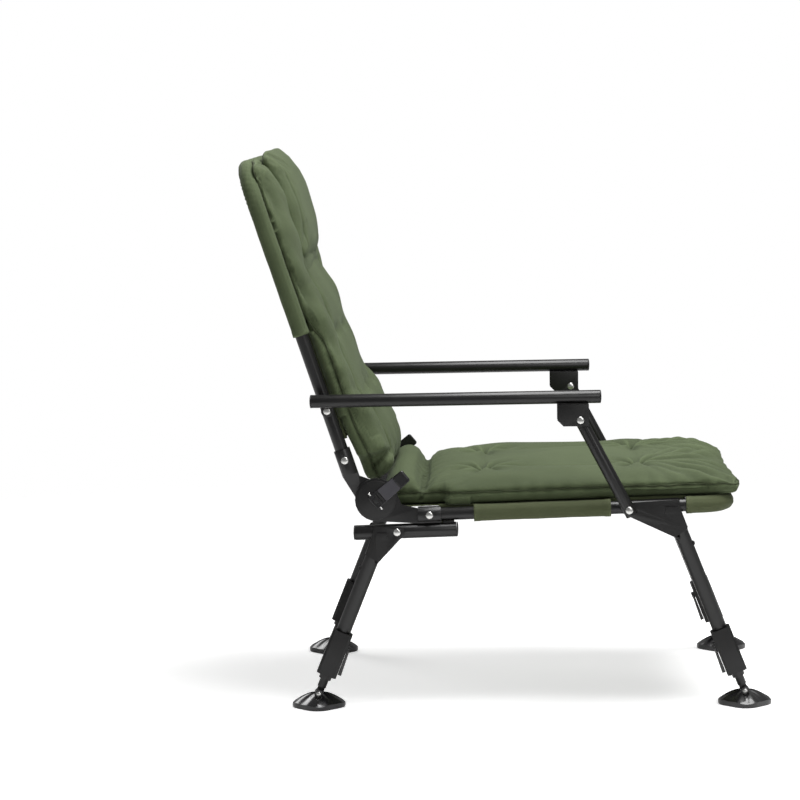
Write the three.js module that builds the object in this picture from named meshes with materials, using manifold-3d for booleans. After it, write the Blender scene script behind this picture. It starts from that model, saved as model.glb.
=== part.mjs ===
// Reclining carp fishing chair: a padded seat and back on a steel tube frame, with four
// telescopic folding legs on mud feet, and arm rests that form a parallelogram with the back.
// X points forward, Y to the sitter's left, Z up. All lengths are in millimetres.
import * as THREE from "three";
import { mergeVertices } from "three/addons/utils/BufferGeometryUtils.js";
import Module from "manifold-3d";

const wasm = await Module();
wasm.setup();

// Fits shared by all pieces
const gap = 0.3; // between pieces that touch
const runningGap = 0.5; // round a pin or between plates that turn
const overrun = 4; // how far a cutter passes the face that it cuts
const roundSides = 14;
const smallSides = 8;
const discSides = 24;

// Frame tubes
const railRadius = 11;
const tubeWall = 1.5;
const socketWall = 2.4; // of the sockets that the hinges hold the tubes in
const stayRadius = 12.5; // the short tube under each rail that carries the rear leg
const postRadius = 10.5;
const seatBend = 45; // bend radius of the seat frame's front corners
const backBend = 70; // bend radius of the back frame's top corners

// Widths, from the chair's middle: both pads are as wide as the frame that carries them
const padHalfWidth = 252;
const padOverhang = 2; // of the pads past the axes of the frame tubes
const armClearance = 20.5; // between the pads and the arm posts
const legPlane = padHalfWidth - padOverhang; // of the legs, the rails and the back tubes
const armPlane = padHalfWidth + armClearance + postRadius; // of the arm rests and their posts

// Seat frame: the rail's rear end, and places along the rail from there
const railRear = { x: 168, z: 323.5 };
const railSlope = THREE.MathUtils.degToRad(1.6);
const railLength = 515; // to the axis of the front bar
const postSetback = 165; // from the front bar back to the pivot that the front leg and the arm post share
const postRun = railLength - postSetback;
const railRivetRun = 19;
const stayGap = gap + socketWall + gap; // leaves room for the hinge socket on the rail
const stayRear = -106;
const stayFront = 63;
const legPivotRun = -36; // to the rear leg's pivot on the stay
const crossRun = 38;
const crossRadius = 9;
const spacerRear = 41;
const spacerFront = 60;
const spacerWidth = 9;

// Recline hinge
const hingeCentre = { x: 99, z: 350 };
const hingeRadius = 36;
const hingeInnerRadius = 30;
const hingePinRadius = 5;
const backPlateInner = -9; // across the leg plane, outwards positive
const backPlateOuter = -0.2;
const basePlateInner = 0.5;
const basePlateOuter = 7.8;
const coverThickness = 3.4;
const leverThickness = 6.5;
const leverLength = 66;
const leverRootWidth = 28;
const leverTipWidth = 23;
const leverCorner = 3;
const leverRear = 9; // behind the hinge's centre
const leverAngle = THREE.MathUtils.degToRad(40);
const baseSocketLength = 38;
// Corners of the hinge plates, as shares of their discs' radii
const webRearShares = [-0.75, -0.25];
const webFrontShares = [0.8, 0.55];
const cheekFrontShares = [0.8, 0.5];
const cheekRearShares = [-0.9, -0.3];

// Back frame: places along the back tube from the foot of the hinge's square line
const backLean = THREE.MathUtils.degToRad(18.35);
const tubeSetback = 28; // from the hinge centre back to the tube's axis
const backSocketLow = 54;
const backSocketHigh = 98;
const backCheekRise = 46; // where the hinge plate narrows to the tube's width
const backRivetRise = 80;
const armPivotRise = 168.4;
const backTop = 590;
const pocketLow = 300;
const backSlingLow = 112;

// Arm rests and posts
const armRadius = 11;
const armBehind = 25; // past the rear pivot
const armAhead = 32; // past the front pivot
const armRiseRear = 17.5; // the arm's axis above its rear pivot
const armRiseFront = 38;
const earThickness = 3;
const earHalfWidth = 10;
const armBracketWall = 2;
const armBracketBehind = 38;
const armBracketAhead = 14;
const armBracketDrop = 10;
const postOverhang = 11; // past its two pivots

// Legs
const legRadius = 12.5;
const innerLegWall = 1.4;
const innerLegHeadroom = 76.7; // from the inner leg's top up to the rear leg's pivot
const legTubeLow = 42; // along the leg from the foot's pin
const legSolidTop = 37.5; // of the leg under its bracket, where the tube's end is closed
const collarLow = 35;
const collarHigh = 113;
const collarHalfDepth = 17;
const collarHalfWidth = 15.5;
const collarCorner = 4;
const neckRadius = 7.5;
const neckLow = 12;
const shoulderLow = 27;
const eyeRadius = 7;
const eyeThickness = 9;
const bracketWall = 2.4;
const legSocketRadius = 14.2;
const bracketWebWall = 3;
const bossRadius = 12.5;
const bossArcShare = 0.36; // of half a turn, to either side of the boss's tip
const bossTopShare = 0.6;
const cheekRise = 8.5; // of the bracket's cheeks above the pivot
const webClearance = 5; // between the bracket's web and the tube above it when the leg is folded
const cutClearance = 1.5; // between the leg's upper end and the tube above it
const webRootShare = 0.1; // of the web's length that is sunk into the leg
const catchLength = 19;
const catchHeight = 12;
const catchThickness = 3;
const eyeStemShare = 0.85; // of the eye's radius
// Each leg's foot is ahead of its pivot by its reach, and it folds through the angle fold. The
// corners of its bracket lie below the pivot, measured along the leg.
const rearLeg = {
  name: "rear",
  inward: 1,
  reach: -135.25,
  lean: THREE.MathUtils.degToRad(22),
  fold: THREE.MathUtils.degToRad(90),
  innerDrop: 58.7,
  outerDrop: 54.7,
  crestDrop: 12.7,
};
const frontLeg = {
  name: "front",
  inward: -1,
  reach: 193.15,
  lean: THREE.MathUtils.degToRad(-21.5),
  fold: THREE.MathUtils.degToRad(-105),
  innerDrop: 74.4,
  outerDrop: 68.4,
  crestDrop: 26.4,
};

// Leg lock levers on the collars
const lockLow = 42;
const lockPivot = 90;
const lockThickness = 4;
const lockSwell = 2; // that the lever's free end is thicker by
const lockHalfWidth = 6.5;
const lockGap = 0.7;
const lockPinRadius = 1.6;
const lockLugWall = 2.5;
const lockShoulder = 1; // of the lever above its pin

// Mud feet
const footPinHeight = 22;
const footRadius = 45;
const footLobeShare = 0.07;
const footRim = 7;
const footValley = 3; // that the rim is lower by between two lobes
const footHub = 27;
const footCheekWall = 7; // between the leg's eye and the pin's head
const footPocketRadius = 6.5; // round the pin's head
const footRings = 3;
const footSteps = 24;

// Fasteners
const rivetRadius = 3.2;
const rivetHeadRadius = 5.7;
const rivetHead = 2;
const spacerCollarRadius = 6;
const footPinRadius = 2.5;

// Fabric and padding
const slingWall = 2.2;
const sideSleeveRear = 93;
const sleeveSetback = 29; // from the post's pivot back to the side sleeve
const cornerSleeveLength = 24; // of the front sleeve, behind the bends
const sideSleeveFront = postRun - sleeveSetback;
const cornerSleeveRear = railLength - seatBend - cornerSleeveLength;
const slingRear = -38;
const slingInset = 17; // of the sling's edge from the rail's axis where it passes a bracket
const seatPadAhead = 33; // past the front bar's axis
const seatPad = { low: -66, high: railLength + seatPadAhead, rim: 20, round: 24, drawn: 5, corner: 11 };
const backPad = { low: 16, high: 606, rim: 19, round: 24, drawn: 6, corner: 16 };
const crownDrop = 12; // from a pad's middle to its side edges
// Thickness along the middle of each pad: place along the rail or the back tube, then thickness
const seatProfile = [
  [-66, 22],
  [-52, 44],
  [-36, 62],
  [-22, 66],
  [-8, 60],
  [8, 36],
  [30, 50],
  [200, 52],
  [420, 47],
  [500, 40],
  [548, 26],
];
const backProfile = [
  [16, 34],
  [34, 54],
  [50, 60],
  [80, 60],
  [140, 58],
  [190, 46],
  [330, 44],
  [398, 27],
  [440, 41],
  [500, 49],
  [560, 44],
  [606, 20],
];
const pillowInset = 74; // from a pad's edge to the raised head pillow and the notch under it
const groove = { width: 9, depth: 9 };
const backWing = 87; // from the back pad's edge to the sewn line beside its centre
const seatWing = 130;
const seatGrooves = [112, 372];
const backGrooves = [165, 280];
const backTufts = 110; // from one tuft to the next
const seatTufts = 244;
const tuftShares = [0.6, 0.4]; // of a groove's depth, between tufts and more at each of them
const seatNeck = { front: 40, flare: 12 }; // where the seat pad leaves the space between the hinges
const neckClearance = 4.5; // between the pads and the hinges
const padSteps = 20;
const padRows = 20;
const hingeRelief = 62; // how far up the back pad stays clear of the hinge discs

const steel = () => new THREE.MeshStandardMaterial({ color: 0x1b1b1d, roughness: 0.38, metalness: 0.5 });
const plastic = () => new THREE.MeshStandardMaterial({ color: 0x141415, roughness: 0.55, metalness: 0 });
const zinc = () => new THREE.MeshStandardMaterial({ color: 0xd8d8d6, roughness: 0.3, metalness: 1 });
const fabric = () => new THREE.MeshStandardMaterial({ color: 0x4a6040, roughness: 0.9, metalness: 0 });
const sling = () => new THREE.MeshStandardMaterial({ color: 0x3c4c30, roughness: 0.92, metalness: 0 });

// Solids from three.js geometry, and back
function solid(geometry) {
  const bare = geometry.index ? geometry.toNonIndexed() : geometry.clone();
  bare.deleteAttribute("normal");
  bare.deleteAttribute("uv");
  const merged = mergeVertices(bare, 1e-4);
  const triVerts = new Uint32Array(merged.index.array);
  const vertProperties = merged.attributes.position.array;
  return new wasm.Manifold(new wasm.Mesh({ numProp: 3, vertProperties, triVerts }));
}

function geometryOf(manifold) {
  const mesh = manifold.getMesh();
  const geometry = new THREE.BufferGeometry();
  geometry.setAttribute("position", new THREE.BufferAttribute(mesh.vertProperties, 3));
  geometry.setIndex(new THREE.BufferAttribute(mesh.triVerts, 1));
  geometry.computeVertexNormals();
  return geometry;
}

function joined(solids) {
  return solids.reduce((whole, next) => whole.add(next));
}

// Round bar from one point to another
function rod(from, to, radius, sides = roundSides) {
  const along = to.clone().sub(from);
  const geometry = new THREE.CylinderGeometry(radius, radius, along.length(), sides);
  const up = new THREE.Vector3(0, 1, 0);
  geometry.applyQuaternion(new THREE.Quaternion().setFromUnitVectors(up, along.clone().normalize()));
  const middle = from.clone().add(to).divideScalar(2);
  geometry.translate(middle.x, middle.y, middle.z);
  return solid(geometry);
}

// Round bar across the chair at one point of the side view
function pin(at, inner, outer, radius, sides = smallSides) {
  return rod(new THREE.Vector3(at.x, inner, at.z), new THREE.Vector3(at.x, outer, at.z), radius, sides);
}

// Flat plate with its outline in the side view
function plate(outline, inner, outer) {
  const shape = new THREE.Shape(outline.map((p) => new THREE.Vector2(p.x, p.z)));
  const geometry = new THREE.ExtrudeGeometry(shape, { depth: outer - inner, bevelEnabled: false });
  geometry.rotateX(Math.PI / 2);
  geometry.translate(0, outer, 0);
  return solid(geometry);
}

function block(low, high) {
  const size = high.clone().sub(low);
  const geometry = new THREE.BoxGeometry(size.x, size.y, size.z);
  geometry.translate(low.x + size.x / 2, low.y + size.y / 2, low.z + size.z / 2);
  return solid(geometry);
}

// Path whose extruded rings fall on the points it is given
class RingPath extends THREE.Curve {
  constructor(points) {
    super();
    this.points = points;
  }
  getPoint(t, target = new THREE.Vector3()) {
    const place = THREE.MathUtils.clamp(t, 0, 1) * (this.points.length - 1);
    const index = Math.min(Math.floor(place), this.points.length - 2);
    return target.copy(this.points[index]).lerp(this.points[index + 1], place - index);
  }
  getPointAt(u, target) {
    return this.getPoint(u, target);
  }
  getTangentAt(u, target) {
    return this.getTangent(u, target);
  }
}

// Corner radius of a round bore whose flats still clear a bar of the given radius
function boreRadius(barRadius, sides = roundSides) {
  return (barRadius + gap) / Math.cos(Math.PI / sides);
}

function circle(radius, sides) {
  return Array.from({ length: sides }, (_, i) => {
    const turn = (2 * Math.PI * i) / sides;
    return new THREE.Vector2(radius * Math.cos(turn), radius * Math.sin(turn));
  });
}

// Hollow tube with open ends along a list of points
function pipe(points, outer, inner, sides = roundSides) {
  const shape = new THREE.Shape(circle(outer, sides));
  shape.holes.push(new THREE.Path(circle(inner, sides).reverse()));
  const extrudePath = new RingPath(points);
  const options = { steps: points.length - 1, extrudePath, bevelEnabled: false };
  return solid(new THREE.ExtrudeGeometry(shape, options));
}

// Centre line of a U: two legs along x from start to reach, and a bar across between them
function bentU(start, reach, half, bend, arcSteps = 5) {
  const corner = (side) =>
    Array.from({ length: arcSteps + 1 }, (_, i) => {
      const turn = (i / arcSteps) * (Math.PI / 2);
      const x = reach - bend + bend * Math.sin(turn);
      const y = half - bend + bend * Math.cos(turn);
      return new THREE.Vector3(x, side * y, 0);
    });
  const left = [new THREE.Vector3(start, half, 0), ...corner(1)];
  const right = [...corner(-1).reverse(), new THREE.Vector3(start, -half, 0)];
  return [...left, ...right];
}

// Rivet with a head at both ends, and a collar that keeps two pieces apart
function rivet(at, inner, outer, collar) {
  const parts = [
    pin(at, inner - rivetHead, outer + rivetHead, rivetRadius),
    pin(at, inner - rivetHead, inner, rivetHeadRadius),
    pin(at, outer, outer + rivetHead, rivetHeadRadius),
  ];
  if (collar) parts.push(pin(at, collar.inner, collar.outer, spacerCollarRadius));
  return joined(parts);
}

// Points that the frames share, in the side view
function onRail(run, rise = 0) {
  return {
    x: railRear.x + run * Math.cos(railSlope) - rise * Math.sin(railSlope),
    z: railRear.z + run * Math.sin(railSlope) + rise * Math.cos(railSlope),
  };
}

function onBack(ahead, rise) {
  return {
    x: hingeCentre.x + (ahead - tubeSetback) * Math.cos(backLean) - rise * Math.sin(backLean),
    z: hingeCentre.z + (ahead - tubeSetback) * Math.sin(backLean) + rise * Math.cos(backLean),
  };
}

const stayDrop = railRadius + stayGap + stayRadius;
const armPivot = onBack(0, armPivotRise);
const postFoot = onRail(postRun);
const postHead = {
  x: postFoot.x + armPivot.x - hingeCentre.x,
  z: postFoot.z + armPivot.z - hingeCentre.z,
};

// Where a leg stands, and how high its pivot is along it
function placed(leg, pivot) {
  const foot = pivot.x + leg.reach;
  const rise = pivot.z - footPinHeight;
  const length = -leg.reach * Math.sin(leg.lean) + rise * Math.cos(leg.lean);
  const corners = {
    inner: length - leg.innerDrop,
    outer: length - leg.outerDrop,
    crest: length - leg.crestDrop,
  };
  return { ...leg, pivot, foot, length, corners };
}

const legs = [placed(rearLeg, onRail(legPivotRun, -stayDrop)), placed(frontLeg, postFoot)];
const innerLegTop = legs[0].length - innerLegHeadroom;
const holeRadius = rivetRadius + runningGap;
const armOffset = armPlane - legPlane;
const neckHalfWidth = legPlane + backPlateInner - runningGap - rivetHead - neckClearance;

function at(point, across) {
  return new THREE.Vector3(point.x, across, point.z);
}

// Chair, with one group for each side and one for what spans both
const chair = new THREE.Group();
const sides = { left: new THREE.Group(), right: new THREE.Group() };
const middle = new THREE.Group();
sides.right.scale.y = -1;
chair.add(sides.left, sides.right, middle);

function addPiece(group, name, manifold, material) {
  const mesh = new THREE.Mesh(geometryOf(manifold), material);
  mesh.name = name;
  group.add(mesh);
}

// A piece that each side has, drawn once on the left and mirrored for the right
function addPair(name, manifold, material) {
  for (const [side, group] of Object.entries(sides)) {
    addPiece(group, `${name}_${side}`, manifold, material());
  }
}

// Tilted frames of the seat and of the back: x along the rail or the back tube, z square to it
const seatFrame = new THREE.Matrix4().makeRotationY(-railSlope).setPosition(railRear.x, 0, railRear.z);
const backFoot = onBack(0, 0);
const backFrame = new THREE.Matrix4()
  .makeBasis(
    new THREE.Vector3(-Math.sin(backLean), 0, Math.cos(backLean)),
    new THREE.Vector3(0, -1, 0),
    new THREE.Vector3(Math.cos(backLean), 0, Math.sin(backLean)),
  )
  .setPosition(backFoot.x, 0, backFoot.z);

function moved(manifold, matrix) {
  return solid(geometryOf(manifold).applyMatrix4(matrix));
}

// Seat frame: one tube bent into a U, with its open end at the recline hinges
function makeSeatFrame() {
  const path = bentU(2 * gap, railLength, legPlane, seatBend);
  let tube = moved(pipe(path, railRadius, railRadius - tubeWall), seatFrame);
  const reach = railRadius + overrun;
  for (const plane of [legPlane, -legPlane]) {
    for (const run of [railRivetRun, postRun]) {
      tube = tube.subtract(pin(onRail(run), plane - reach, plane + reach, holeRadius));
    }
  }
  addPiece(middle, "seat_frame", tube, steel());
}

// Stay tubes under the rails, with the spacer that is welded to the rail
function makeStays() {
  const line = [at(onRail(stayRear, -stayDrop), legPlane), at(onRail(stayFront, -stayDrop), legPlane)];
  const tube = pipe(line, stayRadius, stayRadius - tubeWall);
  const spacer = plate(
    [
      onRail(spacerRear, -railRadius - gap),
      onRail(spacerFront, -railRadius - gap),
      onRail(spacerFront, -stayDrop + stayRadius - tubeWall / 2),
      onRail(spacerRear, -stayDrop + stayRadius - tubeWall / 2),
    ],
    legPlane - spacerWidth / 2,
    legPlane + spacerWidth / 2,
  );
  const reach = stayRadius + overrun;
  const hole = pin(legs[0].pivot, legPlane - reach, legPlane + reach, holeRadius);
  addPair("rear_stay", tube.add(spacer).subtract(hole), steel);
  const crossHalf = legPlane - stayRadius - gap;
  const cross = onRail(crossRun, -stayDrop);
  const bar = pipe([at(cross, -crossHalf), at(cross, crossHalf)], crossRadius, crossRadius - tubeWall);
  addPiece(middle, "rear_cross_tube", bar, steel());
}

// Recline hinge: the base plate on the rail, the back plate on the back tube,
// and the outer cap whose pin carries both and the release lever
function makeHinges() {
  const inner = legPlane + basePlateInner;
  const outer = legPlane + basePlateOuter;
  const socketRadius = railRadius + gap + socketWall;
  const through = (point, radius) => pin(point, legPlane - hingeRadius, legPlane + hingeRadius, radius);
  const onRim = (x, [ahead, up]) => ({ x: x + hingeRadius * ahead, z: hingeCentre.z + hingeRadius * up });
  const web = plate(
    [
      { x: hingeCentre.x, z: hingeCentre.z - hingeRadius },
      onRail(0, -socketRadius),
      onRail(baseSocketLength, -socketRadius),
      onRail(baseSocketLength, railRadius),
      onRail(0, railRadius),
      onRim(railRear.x, webRearShares),
      onRim(hingeCentre.x, webFrontShares),
      hingeCentre,
    ],
    inner,
    outer,
  );
  const railPoint = (run) => at(onRail(run), legPlane);
  const alongRail = (low, high, radius) => rod(railPoint(low), railPoint(high), radius);
  const socket = alongRail(0, baseSocketLength, socketRadius);
  const bore = alongRail(gap, baseSocketLength + overrun, boreRadius(railRadius));
  const pinHole = through(hingeCentre, hingePinRadius + runningGap);
  const disc = pin(hingeCentre, inner, outer, hingeRadius, discSides);
  const base = joined([disc, web, socket]).subtract(bore).subtract(pinHole);
  addPair("hinge_base", base.subtract(through(onRail(railRivetRun), holeRadius)), steel);

  const backInner = legPlane + backPlateInner;
  const backOuter = legPlane + backPlateOuter;
  const backDisc = pin(hingeCentre, backInner, backOuter, hingeInnerRadius, discSides);
  const onDisc = ([ahead, up]) => onBack(tubeSetback + hingeInnerRadius * ahead, hingeInnerRadius * up);
  const cheek = plate(
    [
      onDisc(cheekFrontShares),
      onBack(socketRadius - gap, backCheekRise),
      onBack(socketRadius - gap, backSocketHigh - gap),
      onBack(-socketRadius + gap, backSocketHigh - gap),
      onBack(-socketRadius + gap, backSocketLow),
      onDisc(cheekRearShares),
      onBack(tubeSetback, 0),
    ],
    backInner,
    backOuter,
  );
  const tubePoint = (rise) => at(onBack(0, rise), legPlane);
  const alongBack = (low, high, radius) => rod(tubePoint(low), tubePoint(high), radius);
  const sleeve = alongBack(backSocketLow, backSocketHigh, socketRadius);
  const tubeBore = alongBack(backSocketLow + socketWall, backSocketHigh + overrun, boreRadius(railRadius));
  const carrier = joined([backDisc, cheek, sleeve]).subtract(tubeBore).subtract(pinHole);
  addPair("hinge_back", carrier.subtract(through(onBack(0, backRivetRise), holeRadius)), steel);

  const capInner = outer + gap;
  const capOuter = capInner + coverThickness;
  const leverInner = capOuter + runningGap;
  const leverOuter = leverInner + leverThickness;
  const cap = pin(hingeCentre, capInner, capOuter, hingeRadius - coverThickness, discSides);
  const pinEnd = backInner - runningGap;
  const capPin = pin(hingeCentre, pinEnd, leverOuter + gap, hingePinRadius);
  const innerHead = pin(hingeCentre, pinEnd - rivetHead, pinEnd, rivetHeadRadius + gap);
  addPair("hinge_cap", joined([cap, capPin, innerHead]), plastic);

  const tip = (along, across) => ({
    x: hingeCentre.x + along * Math.cos(leverAngle) - across * Math.sin(leverAngle),
    z: hingeCentre.z + along * Math.sin(leverAngle) + across * Math.cos(leverAngle),
  });
  const rootHalf = leverRootWidth / 2;
  const tipHalf = leverTipWidth / 2;
  const paddle = plate(
    [
      tip(-leverRear, -rootHalf + leverCorner),
      tip(-leverRear + leverCorner, -rootHalf),
      tip(leverLength - leverCorner, -tipHalf),
      tip(leverLength, -tipHalf + leverCorner),
      tip(leverLength, tipHalf - leverCorner),
      tip(leverLength - leverCorner, tipHalf),
      tip(-leverRear + leverCorner, rootHalf),
      tip(-leverRear, rootHalf - leverCorner),
    ],
    leverInner,
    leverOuter,
  );
  addPair("recline_lever", paddle.subtract(pinHole), plastic);
  const grip = socketRadius + gap;
  addPair("rail_rivet", rivet(onRail(railRivetRun), legPlane - grip, legPlane + grip), zinc);
  addPair("back_rivet", rivet(onBack(0, backRivetRise), legPlane - grip, legPlane + grip), zinc);
}

// Back frame: one tube bent into an inverted U, with its ends in the hinges' sockets
function makeBackFrame() {
  const path = bentU(backSocketLow + socketWall + gap, backTop, legPlane, backBend);
  let tube = moved(pipe(path, railRadius, railRadius - tubeWall), backFrame);
  const reach = railRadius + overrun;
  for (const plane of [legPlane, -legPlane]) {
    for (const rise of [backRivetRise, armPivotRise]) {
      tube = tube.subtract(pin(onBack(0, rise), plane - reach, plane + reach, holeRadius));
    }
  }
  addPiece(middle, "back_frame", tube, steel());
}

// Arm rest, with the ear under its rear end and the channel bracket under its front end
function makeArms() {
  const rear = { x: armPivot.x - armBehind, z: armPivot.z + armRiseRear };
  const front = { x: postHead.x + armAhead, z: postHead.z + armRiseFront };
  const tube = pipe([at(rear, armPlane), at(front, armPlane)], armRadius, armRadius - tubeWall);
  const earOuter = armPlane - armRadius + tubeWall;
  const earInner = earOuter - earThickness;
  const earTop = armPivot.z + armRiseRear;
  const ear = plate(
    [
      { x: armPivot.x - earHalfWidth, z: armPivot.z },
      { x: armPivot.x + earHalfWidth, z: armPivot.z },
      { x: armPivot.x + earHalfWidth, z: earTop },
      { x: armPivot.x - earHalfWidth, z: earTop },
    ],
    earInner,
    earOuter,
  );
  const earTip = pin(armPivot, earInner, earOuter, earHalfWidth, roundSides);
  const tubeBore = rod(at(rear, armPlane), at(front, armPlane), armRadius - tubeWall);
  const earHole = pin(armPivot, earInner - overrun, earOuter + overrun, holeRadius);
  addPair("arm_rest", tube.add(ear.add(earTip).subtract(tubeBore).subtract(earHole)), steel);

  const armSlope = (front.z - rear.z) / (front.x - rear.x);
  const armUnder = (x) => rear.z + armSlope * (x - rear.x) - armRadius - runningGap;
  const bracketRear = postHead.x - armBracketBehind;
  const bracketFront = postHead.x + armBracketAhead;
  const cheekFoot = postHead.z - armBracketDrop;
  const outline = [
    { x: bracketRear + armBracketDrop, z: cheekFoot },
    { x: bracketFront, z: cheekFoot },
    { x: bracketFront, z: armUnder(bracketFront) },
    { x: bracketRear, z: armUnder(bracketRear) },
    { x: bracketRear, z: cheekFoot + armBracketDrop },
  ];
  const channelHalf = postRadius + runningGap;
  const slot = [
    { x: bracketRear - overrun, z: cheekFoot - overrun },
    { x: bracketFront + overrun, z: cheekFoot - overrun },
    { x: bracketFront + overrun, z: armUnder(bracketFront) - armBracketWall },
    { x: bracketRear - overrun, z: armUnder(bracketRear) - armBracketWall },
  ];
  const shellHalf = channelHalf + armBracketWall;
  const shell = plate(outline, armPlane - shellHalf, armPlane + shellHalf);
  const channel = plate(slot, armPlane - channelHalf, armPlane + channelHalf);
  const headHole = pin(postHead, armPlane - armOffset, armPlane + armOffset, holeRadius);
  addPair("arm_bracket", shell.subtract(channel).subtract(headHole), plastic);

  const run = new THREE.Vector3(postFoot.x - postHead.x, 0, postFoot.z - postHead.z).normalize();
  const top = at(postHead, armPlane).addScaledVector(run, -postOverhang);
  const end = at(postFoot, armPlane).addScaledVector(run, postOverhang);
  const footHole = pin(postFoot, armPlane - armOffset, armPlane + armOffset, holeRadius);
  const post = pipe([top, end], postRadius, postRadius - tubeWall).subtract(headHole).subtract(footHole);
  addPair("arm_post", post, steel);

  const headReach = shellHalf + gap;
  addPair("post_head_rivet", rivet(postHead, armPlane - headReach, armPlane + headReach), zinc);
  const tubeSide = legPlane + railRadius;
  const backCollar = { inner: tubeSide + gap, outer: earInner - gap };
  addPair("arm_rivet", rivet(armPivot, legPlane - railRadius - gap, earOuter + gap, backCollar), zinc);
}

// Outline of a leg's bracket: a round boss at the pivot, and cheeks that run down the leg
function bracketOutline(leg) {
  const { pivot } = leg;
  const point = (along, across) => onLeg(leg, along, across * leg.inward);
  const steps = 6;
  const boss = Array.from({ length: steps + 1 }, (_, i) => {
    const turn = Math.PI * bossArcShare * ((2 * i) / steps - 1);
    const ahead = leg.inward * bossRadius * Math.cos(turn);
    return { x: pivot.x + ahead, z: pivot.z + bossRadius * Math.sin(turn) };
  });
  const crest = onLeg(leg, leg.corners.crest, -(legRadius + bracketWall) * leg.inward);
  const outline = [
    point(leg.corners.inner, legRadius),
    ...boss.filter((p) => p.z < pivot.z + cheekRise),
    { x: pivot.x + leg.inward * bossRadius * bossTopShare, z: pivot.z + cheekRise },
    { x: crest.x, z: crest.z + cheekRise },
    crest,
    point(leg.corners.outer, -legRadius),
  ];
  return leg.inward > 0 ? outline : outline.reverse();
}

function onLeg(leg, along, ahead) {
  return {
    x: leg.foot + along * Math.sin(leg.lean) + ahead * Math.cos(leg.lean),
    z: footPinHeight + along * Math.cos(leg.lean) - ahead * Math.sin(leg.lean),
  };
}

// Outer leg: a tube welded into a bracket whose cheeks straddle the tube above it
function makeLeg(leg) {
  const { pivot } = leg;
  const onAxis = (along) => at(onLeg(leg, along, 0), legPlane);
  const line = (low, high, radius) => rod(onAxis(low), onAxis(high), radius);
  const straddle = stayRadius + runningGap;
  const half = straddle + bracketWall;
  const outline = bracketOutline(leg);
  const between = plate(outline, legPlane - straddle, legPlane + straddle);
  const cheeks = plate(outline, legPlane - half, legPlane + half).subtract(between);
  const carrierRadius = leg.name === "rear" ? stayRadius : railRadius;
  const ceiling = carrierRadius + cutClearance;
  const corner = onLeg(leg, leg.corners.inner, legRadius * leg.inward);
  const far = { x: pivot.x, z: pivot.z - bossRadius };
  const onWeb = (share, lift) => ({
    x: corner.x + (far.x - corner.x) * share,
    z: corner.z + (far.z - corner.z) * share + lift,
  });
  // Height over the pivot once the leg is folded: the web ends where it would meet the tube
  const folded = (p) => (p.x - pivot.x) * Math.sin(leg.fold) + (p.z - pivot.z) * Math.cos(leg.fold);
  const webLow = folded(onWeb(0, bracketWebWall));
  const webHigh = folded(onWeb(1, bracketWebWall));
  const webEnd = (-carrierRadius - webClearance - webLow) / (webHigh - webLow);
  const webOutline = [
    onWeb(-webRootShare, 0),
    onWeb(webEnd, 0),
    onWeb(webEnd, bracketWebWall),
    onWeb(-webRootShare, bracketWebWall),
  ];
  const web = plate(leg.inward > 0 ? webOutline : webOutline.reverse(), legPlane - half, legPlane + half);
  const tubeTop = leg.corners.crest + legRadius;
  const cap = line(leg.corners.outer, tubeTop, legSocketRadius);
  const tube = line(legTubeLow, tubeTop, legRadius);
  const reach = postRun;
  const drop = reach * Math.tan(railSlope);
  const clearance = plate(
    [
      { x: pivot.x - reach, z: pivot.z - drop - ceiling },
      { x: pivot.x + reach, z: pivot.z + drop - ceiling },
      { x: pivot.x + reach, z: pivot.z + reach },
      { x: pivot.x - reach, z: pivot.z + reach },
    ],
    legPlane - straddle,
    legPlane + straddle,
  );
  const bore = line(legTubeLow - overrun, tubeTop - legSolidTop, legRadius - tubeWall);
  const catchX = onLeg(leg, leg.corners.crest, 0).x;
  const catchTop = pivot.z + (catchX - pivot.x) * Math.tan(railSlope);
  const catchLow = new THREE.Vector3(catchX - catchLength / 2, legPlane + half - bracketWall / 2, catchTop);
  const catchHigh = new THREE.Vector3(catchX + catchLength / 2, legPlane + half + catchThickness, catchTop);
  catchLow.z -= catchHeight;
  const springCatch = block(catchLow, catchHigh);
  const hole = pin(pivot, legPlane - half - overrun, legPlane + half + overrun, holeRadius);
  const body = joined([tube, cap, web, cheeks]).subtract(clearance).add(springCatch);
  addPair(`leg_${leg.name}`, body.subtract(bore).subtract(hole), steel);

  const toLeg = new THREE.Matrix4().makeRotationY(leg.lean).setPosition(leg.foot, legPlane, footPinHeight);
  makeCollar(leg, toLeg);
  makeInnerLeg(leg, toLeg);
  makeFoot(leg);
  if (leg.name === "rear") {
    addPair("leg_rivet_rear", rivet(pivot, legPlane - half - gap, legPlane + half + gap), zinc);
  } else {
    const collar = { inner: legPlane + half + gap, outer: armPlane - postRadius - gap };
    const outer = armPlane + postRadius + gap;
    addPair("leg_rivet_front", rivet(pivot, legPlane - half - gap, outer, collar), zinc);
  }
}

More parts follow.
